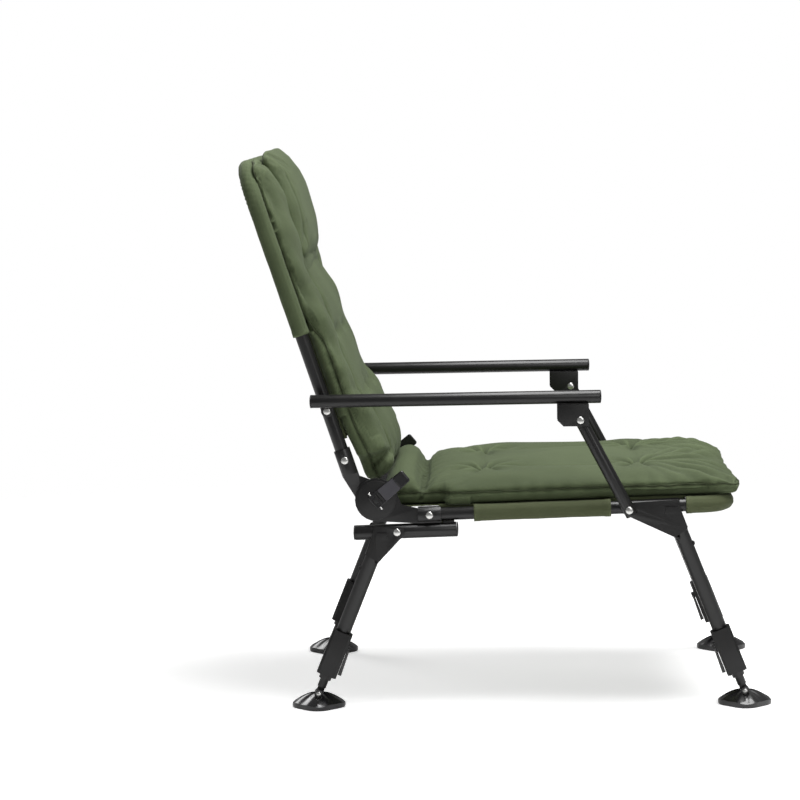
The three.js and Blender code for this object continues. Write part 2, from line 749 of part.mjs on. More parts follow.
// Plastic collar on the leg's lower end, with the lugs that hold the lock lever
function makeCollar(leg, toLeg) {
  const side = leg.inward;
  const shape = new THREE.Shape();
  const depth = collarHalfDepth;
  const width = collarHalfWidth;
  const cut = collarCorner;
  shape.moveTo(-depth + cut, -width);
  shape.lineTo(depth - cut, -width);
  shape.lineTo(depth, -width + cut);
  shape.lineTo(depth, width - cut);
  shape.lineTo(depth - cut, width);
  shape.lineTo(-depth + cut, width);
  shape.lineTo(-depth, width - cut);
  shape.lineTo(-depth, -width + cut);
  const geometry = new THREE.ExtrudeGeometry(shape, { depth: collarHigh - collarLow, bevelEnabled: false });
  geometry.translate(0, 0, collarLow);
  const lockAxis = { x: side * (collarHalfDepth + lockGap + lockThickness / 2), z: lockPivot };
  const lugInner = lockHalfWidth + gap;
  const lugOuter = lugInner + lockLugWall;
  const lugReach = lockAxis.x + side * (lockPinRadius + gap + tubeWall / 2);
  const lugs = [1, -1].map((hand) => {
    const near = hand * lugInner;
    const far = hand * lugOuter;
    const root = side * (collarHalfDepth - tubeWall);
    return block(
      new THREE.Vector3(Math.min(root, lugReach), Math.min(near, far), lockPivot - lockThickness),
      new THREE.Vector3(Math.max(root, lugReach), Math.max(near, far), lockPivot + lockThickness),
    );
  });
  const boreLow = new THREE.Vector3(0, 0, collarLow - overrun);
  const bore = rod(boreLow, new THREE.Vector3(0, 0, collarHigh + overrun), boreRadius(legRadius));
  const lockHole = pin(lockAxis, -lugOuter - overrun, lugOuter + overrun, lockPinRadius + gap);
  const collar = joined([solid(geometry), ...lugs]).subtract(bore).subtract(lockHole);
  addPair(`leg_collar_${leg.name}`, moved(collar, toLeg), plastic);

  const near = side * (collarHalfDepth + lockGap);
  const far = near + side * lockThickness;
  const outline = [
    { x: near, z: lockLow },
    { x: far + side * lockSwell, z: lockLow },
    { x: far, z: lockPivot - lockThickness },
    { x: far, z: lockPivot + lockShoulder },
    { x: near, z: lockPivot + lockShoulder },
  ];
  const paddle = plate(side > 0 ? outline : outline.reverse(), -lockHalfWidth, lockHalfWidth);
  const lockPin = pin(lockAxis, -lugOuter, lugOuter, lockPinRadius);
  addPair(`leg_lock_${leg.name}`, moved(paddle.add(lockPin), toLeg), plastic);
}

// Inner leg: a tube that slides in the leg, with a neck and an eye at its foot
function makeInnerLeg(leg, toLeg) {
  const up = (along) => new THREE.Vector3(0, 0, along);
  const radius = legRadius - tubeWall - gap;
  const tube = rod(up(shoulderLow), up(innerLegTop), radius);
  const bore = rod(up(shoulderLow + radius), up(innerLegTop + overrun), radius - innerLegWall);
  const neck = rod(up(neckLow), up(shoulderLow + overrun), neckRadius);
  const eye = pin({ x: 0, z: 0 }, -eyeThickness / 2, eyeThickness / 2, eyeRadius, roundSides);
  const stem = block(
    new THREE.Vector3(-eyeRadius * eyeStemShare, -eyeThickness / 2, 0),
    new THREE.Vector3(eyeRadius * eyeStemShare, eyeThickness / 2, neckLow + gap),
  );
  const hole = pin({ x: 0, z: 0 }, -eyeThickness, eyeThickness, footPinRadius + gap);
  const inner = joined([tube.subtract(bore), neck, eye, stem]).subtract(hole);
  addPair(`leg_inner_${leg.name}`, moved(inner, toLeg), steel);
}

// Mud foot: a dome with four lobes, slotted for the leg's eye, with a pocket for each head of its pin
function makeFoot(leg) {
  const points = [];
  const faces = [];
  const outerAt = (turn) => footRadius * (1 + footLobeShare * Math.cos(4 * turn)) * (1 - footLobeShare);
  const ringPoint = (ring, step, top) => {
    const turn = (2 * Math.PI * step) / footSteps;
    const reach = (outerAt(turn) * ring) / footRings;
    const dome = footRim + (footHub - footRim) * Math.cos(((ring / footRings) * Math.PI) / 2);
    const valley = ((footValley * ring) / footRings) * (1 - Math.cos(4 * turn)) / 2;
    const height = top ? dome - valley : 0;
    points.push(leg.foot + reach * Math.cos(turn), legPlane + reach * Math.sin(turn), height);
  };
  points.push(leg.foot, legPlane, footHub);
  for (let ring = 1; ring <= footRings; ring += 1) {
    for (let step = 0; step < footSteps; step += 1) ringPoint(ring, step, true);
  }
  const under = points.length / 3;
  for (let step = 0; step < footSteps; step += 1) ringPoint(footRings, step, false);
  points.push(leg.foot, legPlane, 0);
  const last = points.length / 3 - 1;
  const ringStart = (ring) => 1 + (ring - 1) * footSteps;
  for (let step = 0; step < footSteps; step += 1) {
    const next = (step + 1) % footSteps;
    faces.push(0, ringStart(1) + step, ringStart(1) + next);
    for (let ring = 1; ring < footRings; ring += 1) {
      const a = ringStart(ring);
      const b = ringStart(ring + 1);
      faces.push(a + step, b + step, b + next, a + step, b + next, a + next);
    }
    const edge = ringStart(footRings);
    faces.push(edge + step, under + step, under + next, edge + step, under + next, edge + next);
    faces.push(last, under + next, under + step);
  }
  const geometry = new THREE.BufferGeometry();
  geometry.setAttribute("position", new THREE.Float32BufferAttribute(points, 3));
  geometry.setIndex(faces);
  const centre = { x: leg.foot, z: footPinHeight };
  const slotHalf = eyeThickness / 2 + runningGap;
  const cheekOuter = slotHalf + footCheekWall;
  const slot = block(
    new THREE.Vector3(leg.foot - footRadius, legPlane - slotHalf, footPinHeight - eyeRadius - runningGap),
    new THREE.Vector3(leg.foot + footRadius, legPlane + slotHalf, footHub + overrun),
  );
  const pockets = [1, -1].map((hand) => {
    const ends = [legPlane + hand * cheekOuter, legPlane + hand * footRadius];
    return pin(centre, Math.min(...ends), Math.max(...ends), footPocketRadius, roundSides);
  });
  const hole = pin(centre, legPlane - footRadius, legPlane + footRadius, footPinRadius + gap);
  const foot = [slot, hole, ...pockets].reduce((whole, cutter) => whole.subtract(cutter), solid(geometry));
  addPair(`foot_${leg.name}`, foot, plastic);
  const reach = cheekOuter + gap;
  const bolt = joined([
    pin(centre, legPlane - reach - rivetHead, legPlane + reach + rivetHead, footPinRadius),
    pin(centre, legPlane - reach - rivetHead, legPlane - reach, 2 * footPinRadius),
    pin(centre, legPlane + reach, legPlane + reach + rivetHead, 2 * footPinRadius),
  ]);
  addPair(`foot_pin_${leg.name}`, bolt, zinc);
}

// Sling sheets: cloth stretched across a frame, sewn into sleeves round its tubes
function makeSlings() {
  const bore = boreRadius(railRadius);
  const outer = bore + slingWall;
  const sheet = (outline) => {
    const shape = new THREE.Shape(outline.map(([x, y]) => new THREE.Vector2(x, y)));
    const geometry = new THREE.ExtrudeGeometry(shape, { depth: slingWall, bevelEnabled: false });
    geometry.translate(0, 0, bore);
    return solid(geometry);
  };
  const mirrored = (half) => [...half.map(([x, y]) => [x, -y]), ...half.slice().reverse()];
  const narrow = legPlane - slingInset;
  const bendStart = railLength - seatBend;
  const seatHalf = [
    [slingRear, narrow],
    [sideSleeveRear, narrow],
    [sideSleeveRear, legPlane],
    [sideSleeveFront, legPlane],
    [sideSleeveFront, narrow],
    [cornerSleeveRear, narrow],
    [cornerSleeveRear, legPlane],
    [bendStart, legPlane],
    [railLength, legPlane - seatBend],
  ];
  const sideSleeves = [1, -1].map((side) => {
    const ends = [sideSleeveRear, sideSleeveFront].map((run) => new THREE.Vector3(run, side * legPlane, 0));
    return pipe(ends, outer, bore);
  });
  const frontSleeve = pipe(bentU(cornerSleeveRear, railLength, legPlane, seatBend), outer, bore);
  const seat = joined([sheet(mirrored(seatHalf)), ...sideSleeves, frontSleeve]);
  addPiece(middle, "seat_sling", moved(seat, seatFrame), sling());

  const backHalf = [
    [backSlingLow, narrow],
    [pocketLow, narrow],
    [pocketLow, legPlane],
    [backTop - backBend, legPlane],
    [backTop, legPlane - backBend],
  ];
  const pocket = pipe(bentU(pocketLow, backTop, legPlane, backBend), outer, bore);
  addPiece(middle, "back_sling", moved(joined([sheet(mirrored(backHalf)), pocket]), backFrame), sling());
}

// Height at one place from a table of places and heights, without corners between them
function along(profile, place) {
  const next = profile.findIndex(([x]) => x > place);
  if (next === 0) return profile[0][1];
  if (next < 0) return profile[profile.length - 1][1];
  const [x0, h0] = profile[next - 1];
  const [x1, h1] = profile[next];
  return h0 + (h1 - h0) * THREE.MathUtils.smoothstep(place, x0, x1);
}

// Crowned pad: two grids that meet at a welted rim, with rounded corners and drawn-in sides
function pad(size, halfAt, thicknessAt) {
  const points = [];
  const faces = [];
  const length = size.high - size.low;
  const edge = (distance) => Math.sqrt(1 - Math.max(0, 1 - distance / size.round) ** 2);
  const spread = (share) => (1 - Math.cos(Math.PI * share)) / 2;
  const surface = (top) => {
    for (let row = 0; row <= padRows; row += 1) {
      for (let step = 0; step <= padSteps; step += 1) {
        const u = spread(row / padRows);
        const v = 2 * spread(step / padSteps) - 1;
        const place = size.low + u * length;
        const half = halfAt(place) - size.drawn * Math.sin(Math.PI * u);
        const cornerPull = size.corner * Math.abs((2 * u - 1) * v) ** 6;
        const pull = size.drawn * (1 - v * v) + cornerPull;
        const x = place + pull * (1 - 2 * u);
        const y = v * (half - cornerPull);
        const swell = edge(Math.min(u, 1 - u) * length) * edge((1 - Math.abs(v)) * half);
        const height = top ? size.rim + swell * (thicknessAt(x, y) - size.rim) : size.rim * (1 - swell);
        points.push(x, y, height);
      }
    }
  };
  surface(true);
  surface(false);
  const width = padSteps + 1;
  const lower = width * (padRows + 1);
  for (let row = 0; row < padRows; row += 1) {
    for (let step = 0; step < padSteps; step += 1) {
      const a = row * width + step;
      const outward = row < padRows / 2 === step < padSteps / 2;
      const cells = outward
        ? [a, a + width, a + width + 1, a, a + width + 1, a + 1]
        : [a, a + width, a + 1, a + 1, a + width, a + width + 1];
      faces.push(...cells);
      for (let i = 0; i < cells.length; i += 3) {
        faces.push(lower + cells[i], lower + cells[i + 2], lower + cells[i + 1]);
      }
    }
  }
  const geometry = new THREE.BufferGeometry();
  geometry.setAttribute("position", new THREE.Float32BufferAttribute(points, 3));
  geometry.setIndex(faces);
  return solid(geometry);
}

function sewn(distance) {
  return Math.exp(-((distance / groove.width) ** 2));
}

// Depth of a pad's sewn lines: one beside each wing, and tufts on the cross lines between them
function stitching(x, y, lines) {
  const wing = x > lines.wingLow && x < lines.wingHigh ? sewn(Math.abs(y) - lines.wing) : 0;
  const inside = Math.abs(y) < lines.wing ? 1 : 0;
  const [level, more] = tuftShares;
  const tuft = level + more * Math.cos((2 * Math.PI * y) / lines.tufts);
  const across = lines.cross.reduce((sum, line) => sum + sewn(x - line) * tuft, 0) * inside;
  return groove.depth * Math.min(1, wing + across);
}

// Seat cushion with its rear roll, and back cushion with its head pillow
function makePads() {
  const lift = boreRadius(railRadius) + slingWall + gap;
  const smoothstep = THREE.MathUtils.smoothstep;
  const widened = (place) => smoothstep(place, seatNeck.front, seatNeck.front + seatNeck.flare);
  const seatHalf = (place) => THREE.MathUtils.lerp(neckHalfWidth, padHalfWidth, widened(place));
  const drop = (y) => crownDrop * (y / padHalfWidth) ** 2;
  const [seatRear, seatFront] = seatGrooves;
  const seatLines = {
    wing: padHalfWidth - seatWing,
    wingLow: seatRear,
    wingHigh: seatFront,
    cross: seatGrooves,
    tufts: seatTufts,
  };
  const seatThickness = (x, y) => along(seatProfile, x) - drop(y) - stitching(x, y, seatLines);
  const seatPlace = seatFrame.clone().multiply(new THREE.Matrix4().makeTranslation(0, 0, lift));
  addPiece(middle, "seat_cushion", moved(pad(seatPad, seatHalf, seatThickness), seatPlace), fabric());

  const shoulder = backGrooves[backGrooves.length - 1];
  const level = along(backProfile, shoulder);
  const backLines = {
    wing: padHalfWidth - backWing,
    wingLow: backPad.low,
    wingHigh: backPad.high,
    cross: backGrooves,
    tufts: backTufts,
  };
  const pillowHalf = padHalfWidth - pillowInset;
  const backThickness = (x, y) => {
    const inPillow = 1 - smoothstep(Math.abs(y), pillowHalf - groove.width, pillowHalf + groove.width);
    const shaped = along(backProfile, x);
    const wing = x < shoulder ? shaped : Math.min(shaped, level);
    return THREE.MathUtils.lerp(wing, shaped, inPillow) - drop(y) - stitching(x, y, backLines);
  };
  const backPlace = backFrame.clone().multiply(new THREE.Matrix4().makeTranslation(0, 0, lift));
  const relief = [1, -1].map((side) => {
    const ends = [side * neckHalfWidth, side * (padHalfWidth + overrun)];
    const low = new THREE.Vector3(0, Math.min(...ends), 0);
    const high = new THREE.Vector3(hingeRelief, Math.max(...ends), 2 * hingeRelief);
    return moved(block(low, high), backFrame);
  });
  const form = moved(pad(backPad, () => padHalfWidth, backThickness), backPlace);
  const back = relief.reduce((whole, cutter) => whole.subtract(cutter), form);
  addPiece(middle, "back_cushion", back, fabric());
}

makeSeatFrame();
makeStays();
makeHinges();
makeBackFrame();
makeArms();
legs.forEach(makeLeg);
makeSlings();
makePads();

// The origin is under the chair's middle, on the ground
const reach = new THREE.Box3().setFromObject(chair);
chair.position.set(-(reach.min.x + reach.max.x) / 2, 0, -reach.min.z);

export default chair;
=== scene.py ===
import math

import bmesh
import bpy
import numpy as np
from mathutils import Matrix, Vector


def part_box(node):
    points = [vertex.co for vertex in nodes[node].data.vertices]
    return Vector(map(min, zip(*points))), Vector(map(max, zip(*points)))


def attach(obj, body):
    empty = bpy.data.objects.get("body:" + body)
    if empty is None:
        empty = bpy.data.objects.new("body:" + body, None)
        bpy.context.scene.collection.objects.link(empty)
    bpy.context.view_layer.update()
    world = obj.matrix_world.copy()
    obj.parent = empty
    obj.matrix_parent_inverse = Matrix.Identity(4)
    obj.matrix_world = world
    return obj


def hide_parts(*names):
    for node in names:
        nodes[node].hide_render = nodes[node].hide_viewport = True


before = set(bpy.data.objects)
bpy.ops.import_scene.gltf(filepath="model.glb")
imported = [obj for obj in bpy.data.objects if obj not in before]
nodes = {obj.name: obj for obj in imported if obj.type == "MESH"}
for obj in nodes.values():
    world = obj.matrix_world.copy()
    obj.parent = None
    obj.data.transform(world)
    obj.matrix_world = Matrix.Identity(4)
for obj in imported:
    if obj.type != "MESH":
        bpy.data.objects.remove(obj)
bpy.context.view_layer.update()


# Satin black powder coat: baked powder on the steel tubes, with a faint orange peel and a little
# dust in it. The same grain, coarser, is on the moulded parts.
def place(tree, kind, **settings):
    made = tree.nodes.new(kind)
    for name, value in settings.items():
        made.inputs[name.replace("_", " ")].default_value = value
    return made


def set_inputs(made, values):
    for label, value in values.items():
        made.inputs[label].default_value = value


def link(tree, *pairs):
    for source, target in pairs:
        tree.links.new(source, target)


def feed(tree, inputs, values):
    """Links or sets each input, whichever its value asks for."""
    for slot, value in zip(inputs, values):
        if isinstance(value, bpy.types.NodeSocket):
            tree.links.new(value, slot)
        elif value is not None:
            slot.default_value = value


def maths(tree, operation, first, second=None):
    made = tree.nodes.new("ShaderNodeMath")
    made.operation = operation
    feed(tree, made.inputs, (first, second))
    return made.outputs[0]


def blend_colours(tree, share, first, second):
    made = tree.nodes.new("ShaderNodeMix")
    made.data_type = "RGBA"
    feed(tree, (made.inputs[0], made.inputs[6], made.inputs[7]), (share, first, second))
    return made.outputs[2]


def surface_group(name, **inputs):
    """Node group that takes the inputs and gives a colour, a roughness and a height."""
    tree = bpy.data.node_groups.new(name, "ShaderNodeTree")
    colour, number = "NodeSocketColor", "NodeSocketFloat"
    for label, value in inputs.items():
        kind = colour if isinstance(value, tuple) else number
        taken = tree.interface.new_socket(label.replace("_", " "), in_out="INPUT", socket_type=kind)
        taken.default_value = value
    for label, kind in (("Colour", colour), ("Roughness", number), ("Height", number)):
        tree.interface.new_socket(label, in_out="OUTPUT", socket_type=kind)
    given = tree.nodes.new("NodeGroupInput").outputs
    made = tree.nodes.new("NodeGroupOutput").inputs
    return tree, given, made, tree.nodes.new("ShaderNodeTexCoord").outputs["Object"]


def new_material(name):
    material = bpy.data.materials.new(name)
    material.use_nodes = True
    return material, material.node_tree, material.node_tree.nodes["Principled BSDF"]


def finish(name, group, inputs, relief, depth, shader_inputs):
    """Material whose colour, roughness and relief come from a surface group."""
    material, tree, shader = new_material(name)
    surface = tree.nodes.new("ShaderNodeGroup")
    surface.node_tree = group
    set_inputs(surface, inputs)
    set_inputs(shader, shader_inputs)
    bump = place(tree, "ShaderNodeBump", Strength=relief, Distance=depth)
    link(
        tree, (surface.outputs["Height"], bump.inputs["Height"]),
        (bump.outputs["Normal"], shader.inputs["Normal"]),
        (surface.outputs["Colour"], shader.inputs["Base Color"]),
        (surface.outputs["Roughness"], shader.inputs["Roughness"]),
    )
    return material


surface_grain, given, made, where = surface_group(
    "surface_grain", Colour=(0.01, 0.01, 0.01, 1), Dust=(0.05, 0.05, 0.05, 1), Grain_Size=900.0, Roughness=0.4
)
peel = place(surface_grain, "ShaderNodeTexNoise", Detail=2.0, Roughness=0.5)
smears = place(surface_grain, "ShaderNodeTexNoise", Scale=14.0, Detail=5.0, Roughness=0.62)
dusty = maths(surface_grain, "POWER", smears.outputs["Fac"], 3.0)
uneven = maths(surface_grain, "MULTIPLY", maths(surface_grain, "SUBTRACT", smears.outputs["Fac"], 0.5), 0.22)
link(
    surface_grain, (where, peel.inputs["Vector"]), (where, smears.inputs["Vector"]),
    (given["Grain Size"], peel.inputs["Scale"]),
    (blend_colours(surface_grain, dusty, given["Colour"], given["Dust"]), made["Colour"]),
    (maths(surface_grain, "ADD", given["Roughness"], uneven), made["Roughness"]),
    (peel.outputs["Fac"], made["Height"]),
)


def hard_finish(
    name, colour, dust, roughness, grain_size, relief, metallic=0.0, coat=0.0, coat_roughness=0.1
):
    inputs = {"Colour": (*colour, 1), "Dust": (*dust, 1), "Grain Size": grain_size, "Roughness": roughness}
    shader_inputs = {"Metallic": metallic, "Coat Weight": coat, "Coat Roughness": coat_roughness}
    return finish(name, surface_grain, inputs, relief, 0.0002, shader_inputs)


powder_coat = hard_finish(
    "satin_black_powder_coat", (0.0050, 0.0047, 0.0048), (0.018, 0.017, 0.016), 0.36, 1300.0, 0.10,
    coat=0.12, coat_roughness=0.25,
)
moulded_nylon = hard_finish(
    "black_moulded_nylon", (0.0052, 0.0050, 0.0051), (0.020, 0.019, 0.018), 0.48, 2200.0, 0.22
)
gloss_nylon = hard_finish(
    "gloss_black_nylon", (0.006, 0.006, 0.007), (0.022, 0.021, 0.020), 0.24, 700.0, 0.06,
    coat=0.4, coat_roughness=0.08,
)


# Steel frame, hinges, legs and brackets as the workshop makes them: sawn, bent and drilled tube
# with rounded edges. Faces of a round tube are shaded as one, and pressed edges keep a soft radius.
def angle_shading():
    tree = bpy.data.node_groups.new("tube_shading", "GeometryNodeTree")
    for way in ("INPUT", "OUTPUT"):
        tree.interface.new_socket("Geometry", in_out=way, socket_type="NodeSocketGeometry")
    start = tree.nodes.new("NodeGroupInput")
    end = tree.nodes.new("NodeGroupOutput")
    rounded = tree.nodes.new("GeometryNodeSetShadeSmooth")
    rounded.domain = "FACE"
    crease = tree.nodes.new("GeometryNodeSetShadeSmooth")
    crease.domain = "EDGE"
    crease.inputs["Shade Smooth"].default_value = False
    angle = tree.nodes.new("GeometryNodeInputMeshEdgeAngle")
    steep = tree.nodes.new("FunctionNodeCompare")
    steep.operation = "GREATER_THAN"
    steep.inputs[1].default_value = math.radians(33)
    link(
        tree, (angle.outputs[0], steep.inputs[0]), (steep.outputs[0], crease.inputs["Selection"]),
        (start.outputs[0], rounded.inputs[0]), (rounded.outputs[0], crease.inputs[0]),
        (crease.outputs[0], end.inputs[0]),
    )
    return tree


tube_shading = angle_shading()


def modify(piece, name, kind, **settings):
    modifier = piece.modifiers.new(name, kind)
    for label, value in settings.items():
        setattr(modifier, label, value)


def round_edges(piece, width, segments, degrees):
    """Rounds the edges whose faces meet at more than an angle."""
    angle = math.radians(degrees)
    modify(piece, "rounded", "BEVEL", width=width, segments=segments, limit_method="ANGLE", angle_limit=angle)


def dress(node_name, material, edge=0.0006):
    part = nodes[node_name]
    part.data.materials.clear()
    part.data.materials.append(material)
    modify(part, "weld", "WELD", merge_threshold=0.00001)
    round_edges(part, edge, 2, 50)
    modify(part, "shading", "NODES", node_group=tube_shading)


sides = (("left", 1), ("right", -1))
ends = ("rear", "front")
dress("seat_frame", powder_coat)
dress("back_frame", powder_coat)
dress("rear_cross_tube", powder_coat)
for side, _ in sides:
    for part in ("rear_stay", "hinge_base", "hinge_back", "arm_rest", "arm_post"):
        dress(f"{part}_{side}", powder_coat)
    dress(f"arm_bracket_{side}", moulded_nylon)
    dress(f"hinge_cap_{side}", moulded_nylon, edge=0.0012)
    for end in ends:
        dress(f"leg_{end}_{side}", powder_coat)
        dress(f"leg_inner_{end}_{side}", powder_coat)
        dress(f"leg_collar_{end}_{side}", moulded_nylon, edge=0.0012)
        dress(f"leg_lock_{end}_{side}", gloss_nylon, edge=0.0008)


# Rivets and foot bolts: zinc-plated steel, turned and headed cold, each head a low bright dome.
# The long ones carry a spacer collar between the two pieces that they join.
def into_scene(name, data):
    piece = bpy.data.objects.new(name, data)
    bpy.context.scene.collection.objects.link(piece)
    return piece


def solid(name, verts, faces):
    mesh = bpy.data.meshes.new(name)
    mesh.from_pydata([tuple(v) for v in verts], [], faces)
    mesh.validate()
    piece = into_scene(name, mesh)
    recalculated(piece)
    return piece


def band(first, count):
    """Faces between the ring of points that starts at first and the next ring."""
    steps = [(first + step, first + (step + 1) % count) for step in range(count)]
    return [(a, b, b + count, a + count) for a, b in steps]


def turned(name, outline, centre, count=40):
    """Solid turned about the across direction: outline is a list of (place across, radius)."""
    rings = [(y, r) for y, r in outline if r > 0]
    angles = np.linspace(0, 2 * math.pi, count, endpoint=False)
    verts = [(centre[0] + r * math.cos(a), y, centre[1] + r * math.sin(a)) for y, r in rings for a in angles]
    faces = [face for ring in range(len(rings) - 1) for face in band(ring * count, count)]
    faces.append(tuple(range(count))[::-1])
    faces.append(tuple(range((len(rings) - 1) * count, len(rings) * count)))
    return solid(name, verts, faces)


def recalculated(piece):
    """Faces turned outwards, and shaded smooth up to a right-angled edge."""
    work = bmesh.new()
    work.from_mesh(piece.data)
    bmesh.ops.recalc_face_normals(work, faces=work.faces)
    work.to_mesh(piece.data)
    work.free()
    piece.data.shade_smooth()
    piece.data.set_sharp_from_angle(angle=math.radians(50))


def dome(base, top, radius, steps=6):
    """Outline of a low dome from its rim at base to its crown at top."""
    outline = []
    for step in range(steps + 1):
        turn = math.pi / 2 * step / steps
        outline.append((base + (top - base) * math.sin(turn), max(radius * math.cos(turn), radius * 0.04)))
    return outline


def belongs(piece, material, body, slot_name, *replaced):
    """Gives a piece its material, the body it moves with and the solids it stands for. slot_name is not used.
    """
    piece.data.materials.append(material)
    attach(piece, body)
    if replaced:
        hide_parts(*replaced)


zinc_plate = hard_finish(
    "bright_zinc_plate", (0.80, 0.80, 0.78), (0.52, 0.51, 0.49), 0.26, 500.0, 0.05, metallic=1.0
)
tube_plane = 0.250
rivet_bodies = {"rail_rivet": "frame", "back_rivet": "back", "arm_rivet": "back"}
collar_from = {"arm_rivet": (0.0113, 0.0197), "leg_rivet_front": (0.0157, 0.0222)}


def rivet(node_name, body, collar=None, shank=0.0032, head=0.0062):
    low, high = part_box(node_name)
    centre = ((low.x + high.x) / 2, (low.z + high.z) / 2)
    thick = 0.002
    outline = dome(low.y + thick, low.y, head)[::-1] + [(low.y + thick, shank)]
    if collar:
        span = sorted(math.copysign(tube_plane, low.y) + math.copysign(c, low.y) for c in collar)
        outline += [(span[0], shank), (span[0], head), (span[1], head), (span[1], shank)]
    outline += [(high.y - thick, shank)] + dome(high.y - thick, high.y, head)
    belongs(turned(node_name + "_turned", outline, centre), zinc_plate, body, "rivet_steel", node_name)


for side, _ in sides:
    for stem, body in rivet_bodies.items():
        rivet(f"{stem}_{side}", body, collar_from.get(stem))
    rivet(f"post_head_rivet_{side}", f"arm_{side}")
    for end in ends:
        rivet(f"leg_rivet_{end}_{side}", "frame", collar_from.get(f"leg_rivet_{end}"))
        rivet(f"foot_pin_{end}_{side}", f"inner_leg_{end}_{side}", shank=0.0025, head=0.0048)


# End plugs: black moulded caps pushed into the open ends of the arm tubes and of the stays, each
# with a thin flange and a slightly domed face.
def set_in(name, outline, where, direction, material, body, slot_name, count=40):
    """Turned piece whose foot is at where and which points along direction."""
    piece = turned(name, outline, (0, 0), count)
    turn = Vector((0, 1, 0)).rotation_difference(Vector(direction).normalized()).to_matrix().to_4x4()
    piece.data.transform(Matrix.Translation(where) @ turn)
    belongs(piece, material, body, slot_name)


def plug(name, where, direction, radius, body):
    flange = 0.0012
    outline = [(0.0, radius * 0.9), (0.0, radius), (flange, radius)] + dome(flange, 0.0030, radius * 0.97)[1:]
    set_in(name, outline, where, direction, moulded_nylon, body, "black_plastic")


arm_plane = 0.283
for side, hand in sides:
    low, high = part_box(f"arm_rest_{side}")
    for name, x, sense in (("rear", low.x, -1), ("front", high.x, 1)):
        tube = [v.co for v in nodes[f"arm_rest_{side}"].data.vertices if abs(v.co.x - x) < 0.002]
        middle = sum((co for co in tube), Vector()) / len(tube)
        centre = Vector((x, hand * arm_plane, middle.z))
        plug(f"arm_plug_{name}_{side}", centre, (sense, 0, 0), 0.011, f"arm_{side}")
    low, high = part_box(f"rear_stay_{side}")
    for name, x, sense in (("rear", low.x, -1), ("front", high.x, 1)):
        tube = [v.co for v in nodes[f"rear_stay_{side}"].data.vertices if abs(v.co.x - x) < 0.0015]
        middle = (min(co.z for co in tube) + max(co.z for co in tube)) / 2
        centre = Vector((x, hand * tube_plane, middle))
        plug(f"stay_plug_{name}_{side}", centre, (sense, 0, 0), 0.0125, "frame")


# Mud feet: glossy black moulded domes with four lobes, so that they don't sink in soft ground.
# The eye of the inner leg stands in a slot across each one, and its bolt ends in two pockets.
def shell(name, verts, faces, material, body, slot_name, *replaced):
    piece = solid(name, verts, faces)
    belongs(piece, material, body, slot_name, *replaced)
    return piece


def baked(piece):
    """Puts the result of the piece's modifiers in its mesh, and takes them off."""
    depsgraph = bpy.context.evaluated_depsgraph_get()
    mesh = bpy.data.meshes.new_from_object(piece.evaluated_get(depsgraph))
    piece.modifiers.clear()
    piece.data = mesh
    return mesh


def rounded_bar(name, outline, inner, outer, bevel, material, body, slot_name, *replaced):
    """Plate with its outline in the side view and soft edges."""
    count = len(outline)
    verts = [(x, inner, z) for x, z in outline] + [(x, outer, z) for x, z in outline]
    faces = [tuple(range(count)), tuple(range(count, 2 * count))] + band(0, count)
    piece = shell(name, verts, faces, material, body, slot_name, *replaced)
    round_edges(piece, bevel, 3, 25)


foot_radius = 0.045
foot_bolt_height = 0.022


def foot_surface(centre):
    """Verts and faces of the dome: four lobes that run out to a thick rim, with valleys between."""
    around, rings = 96, 18
    verts, faces = [], []
    for ring in range(rings + 1):
        share = max(ring / rings, 0.02)
        for step in range(around):
            turn = 2 * math.pi * step / around
            lobe = math.cos(4 * turn)
            valley = (0.5 - 0.5 * lobe) ** 3
            reach = foot_radius * (1 + 0.07 * lobe) * 0.93 * math.sin(math.pi / 2 * share) ** 0.85
            over = reach / foot_radius
            height = 0.0062 + 0.0195 * max(0.0, math.cos(math.pi / 2 * min(over, 1.0))) ** 0.9
            height -= 0.0085 * over ** 1.2 * (1.25 - over) * valley
            height += 0.0012 * math.exp(-((abs(math.sin(2 * turn)) / 0.16) ** 2)) * (0.3 < over < 0.92)
            if ring == rings:
                height = 0.0034 - 0.0012 * valley
            verts.append((centre[0] + reach * math.cos(turn), centre[1] + reach * math.sin(turn), height))
    base = len(verts)
    for step in range(around):
        turn = 2 * math.pi * step / around
        reach = foot_radius * (1 + 0.07 * math.cos(4 * turn)) * 0.93 * 0.98
        verts.append((centre[0] + reach * math.cos(turn), centre[1] + reach * math.sin(turn), 0.0))
    for ring in range(rings + 1):
        faces += band(ring * around, around)
    faces.append(tuple(range(around)))
    faces.append(tuple(range(base, base + around)))
    return verts, faces


def cut_away(piece, low, high):
    """Cuts a box out of a piece."""
    bpy.ops.mesh.primitive_cube_add(size=1)
    cutter = bpy.context.object
    cutter.data.transform(Matrix.Translation((low + high) / 2) @ Matrix.Diagonal((*(high - low), 1)))
    subtract_from(piece, cutter)


def drill(piece, centre, direction, radius, depth):
    """Cuts a round pocket whose floor is at centre and which opens towards direction."""
    bpy.ops.mesh.primitive_cylinder_add(vertices=48, radius=radius, depth=depth)
    cutter = bpy.context.object
    turn = Vector((0, 0, 1)).rotation_difference(direction).to_matrix().to_4x4()
    cutter.data.transform(Matrix.Translation(centre + direction * depth / 2) @ turn)
    subtract_from(piece, cutter)


def subtract_from(piece, cutter):
    modify(piece, "cut", "BOOLEAN", operation="DIFFERENCE", solver="EXACT", object=cutter)
    baked(piece)
    bpy.data.objects.remove(cutter)


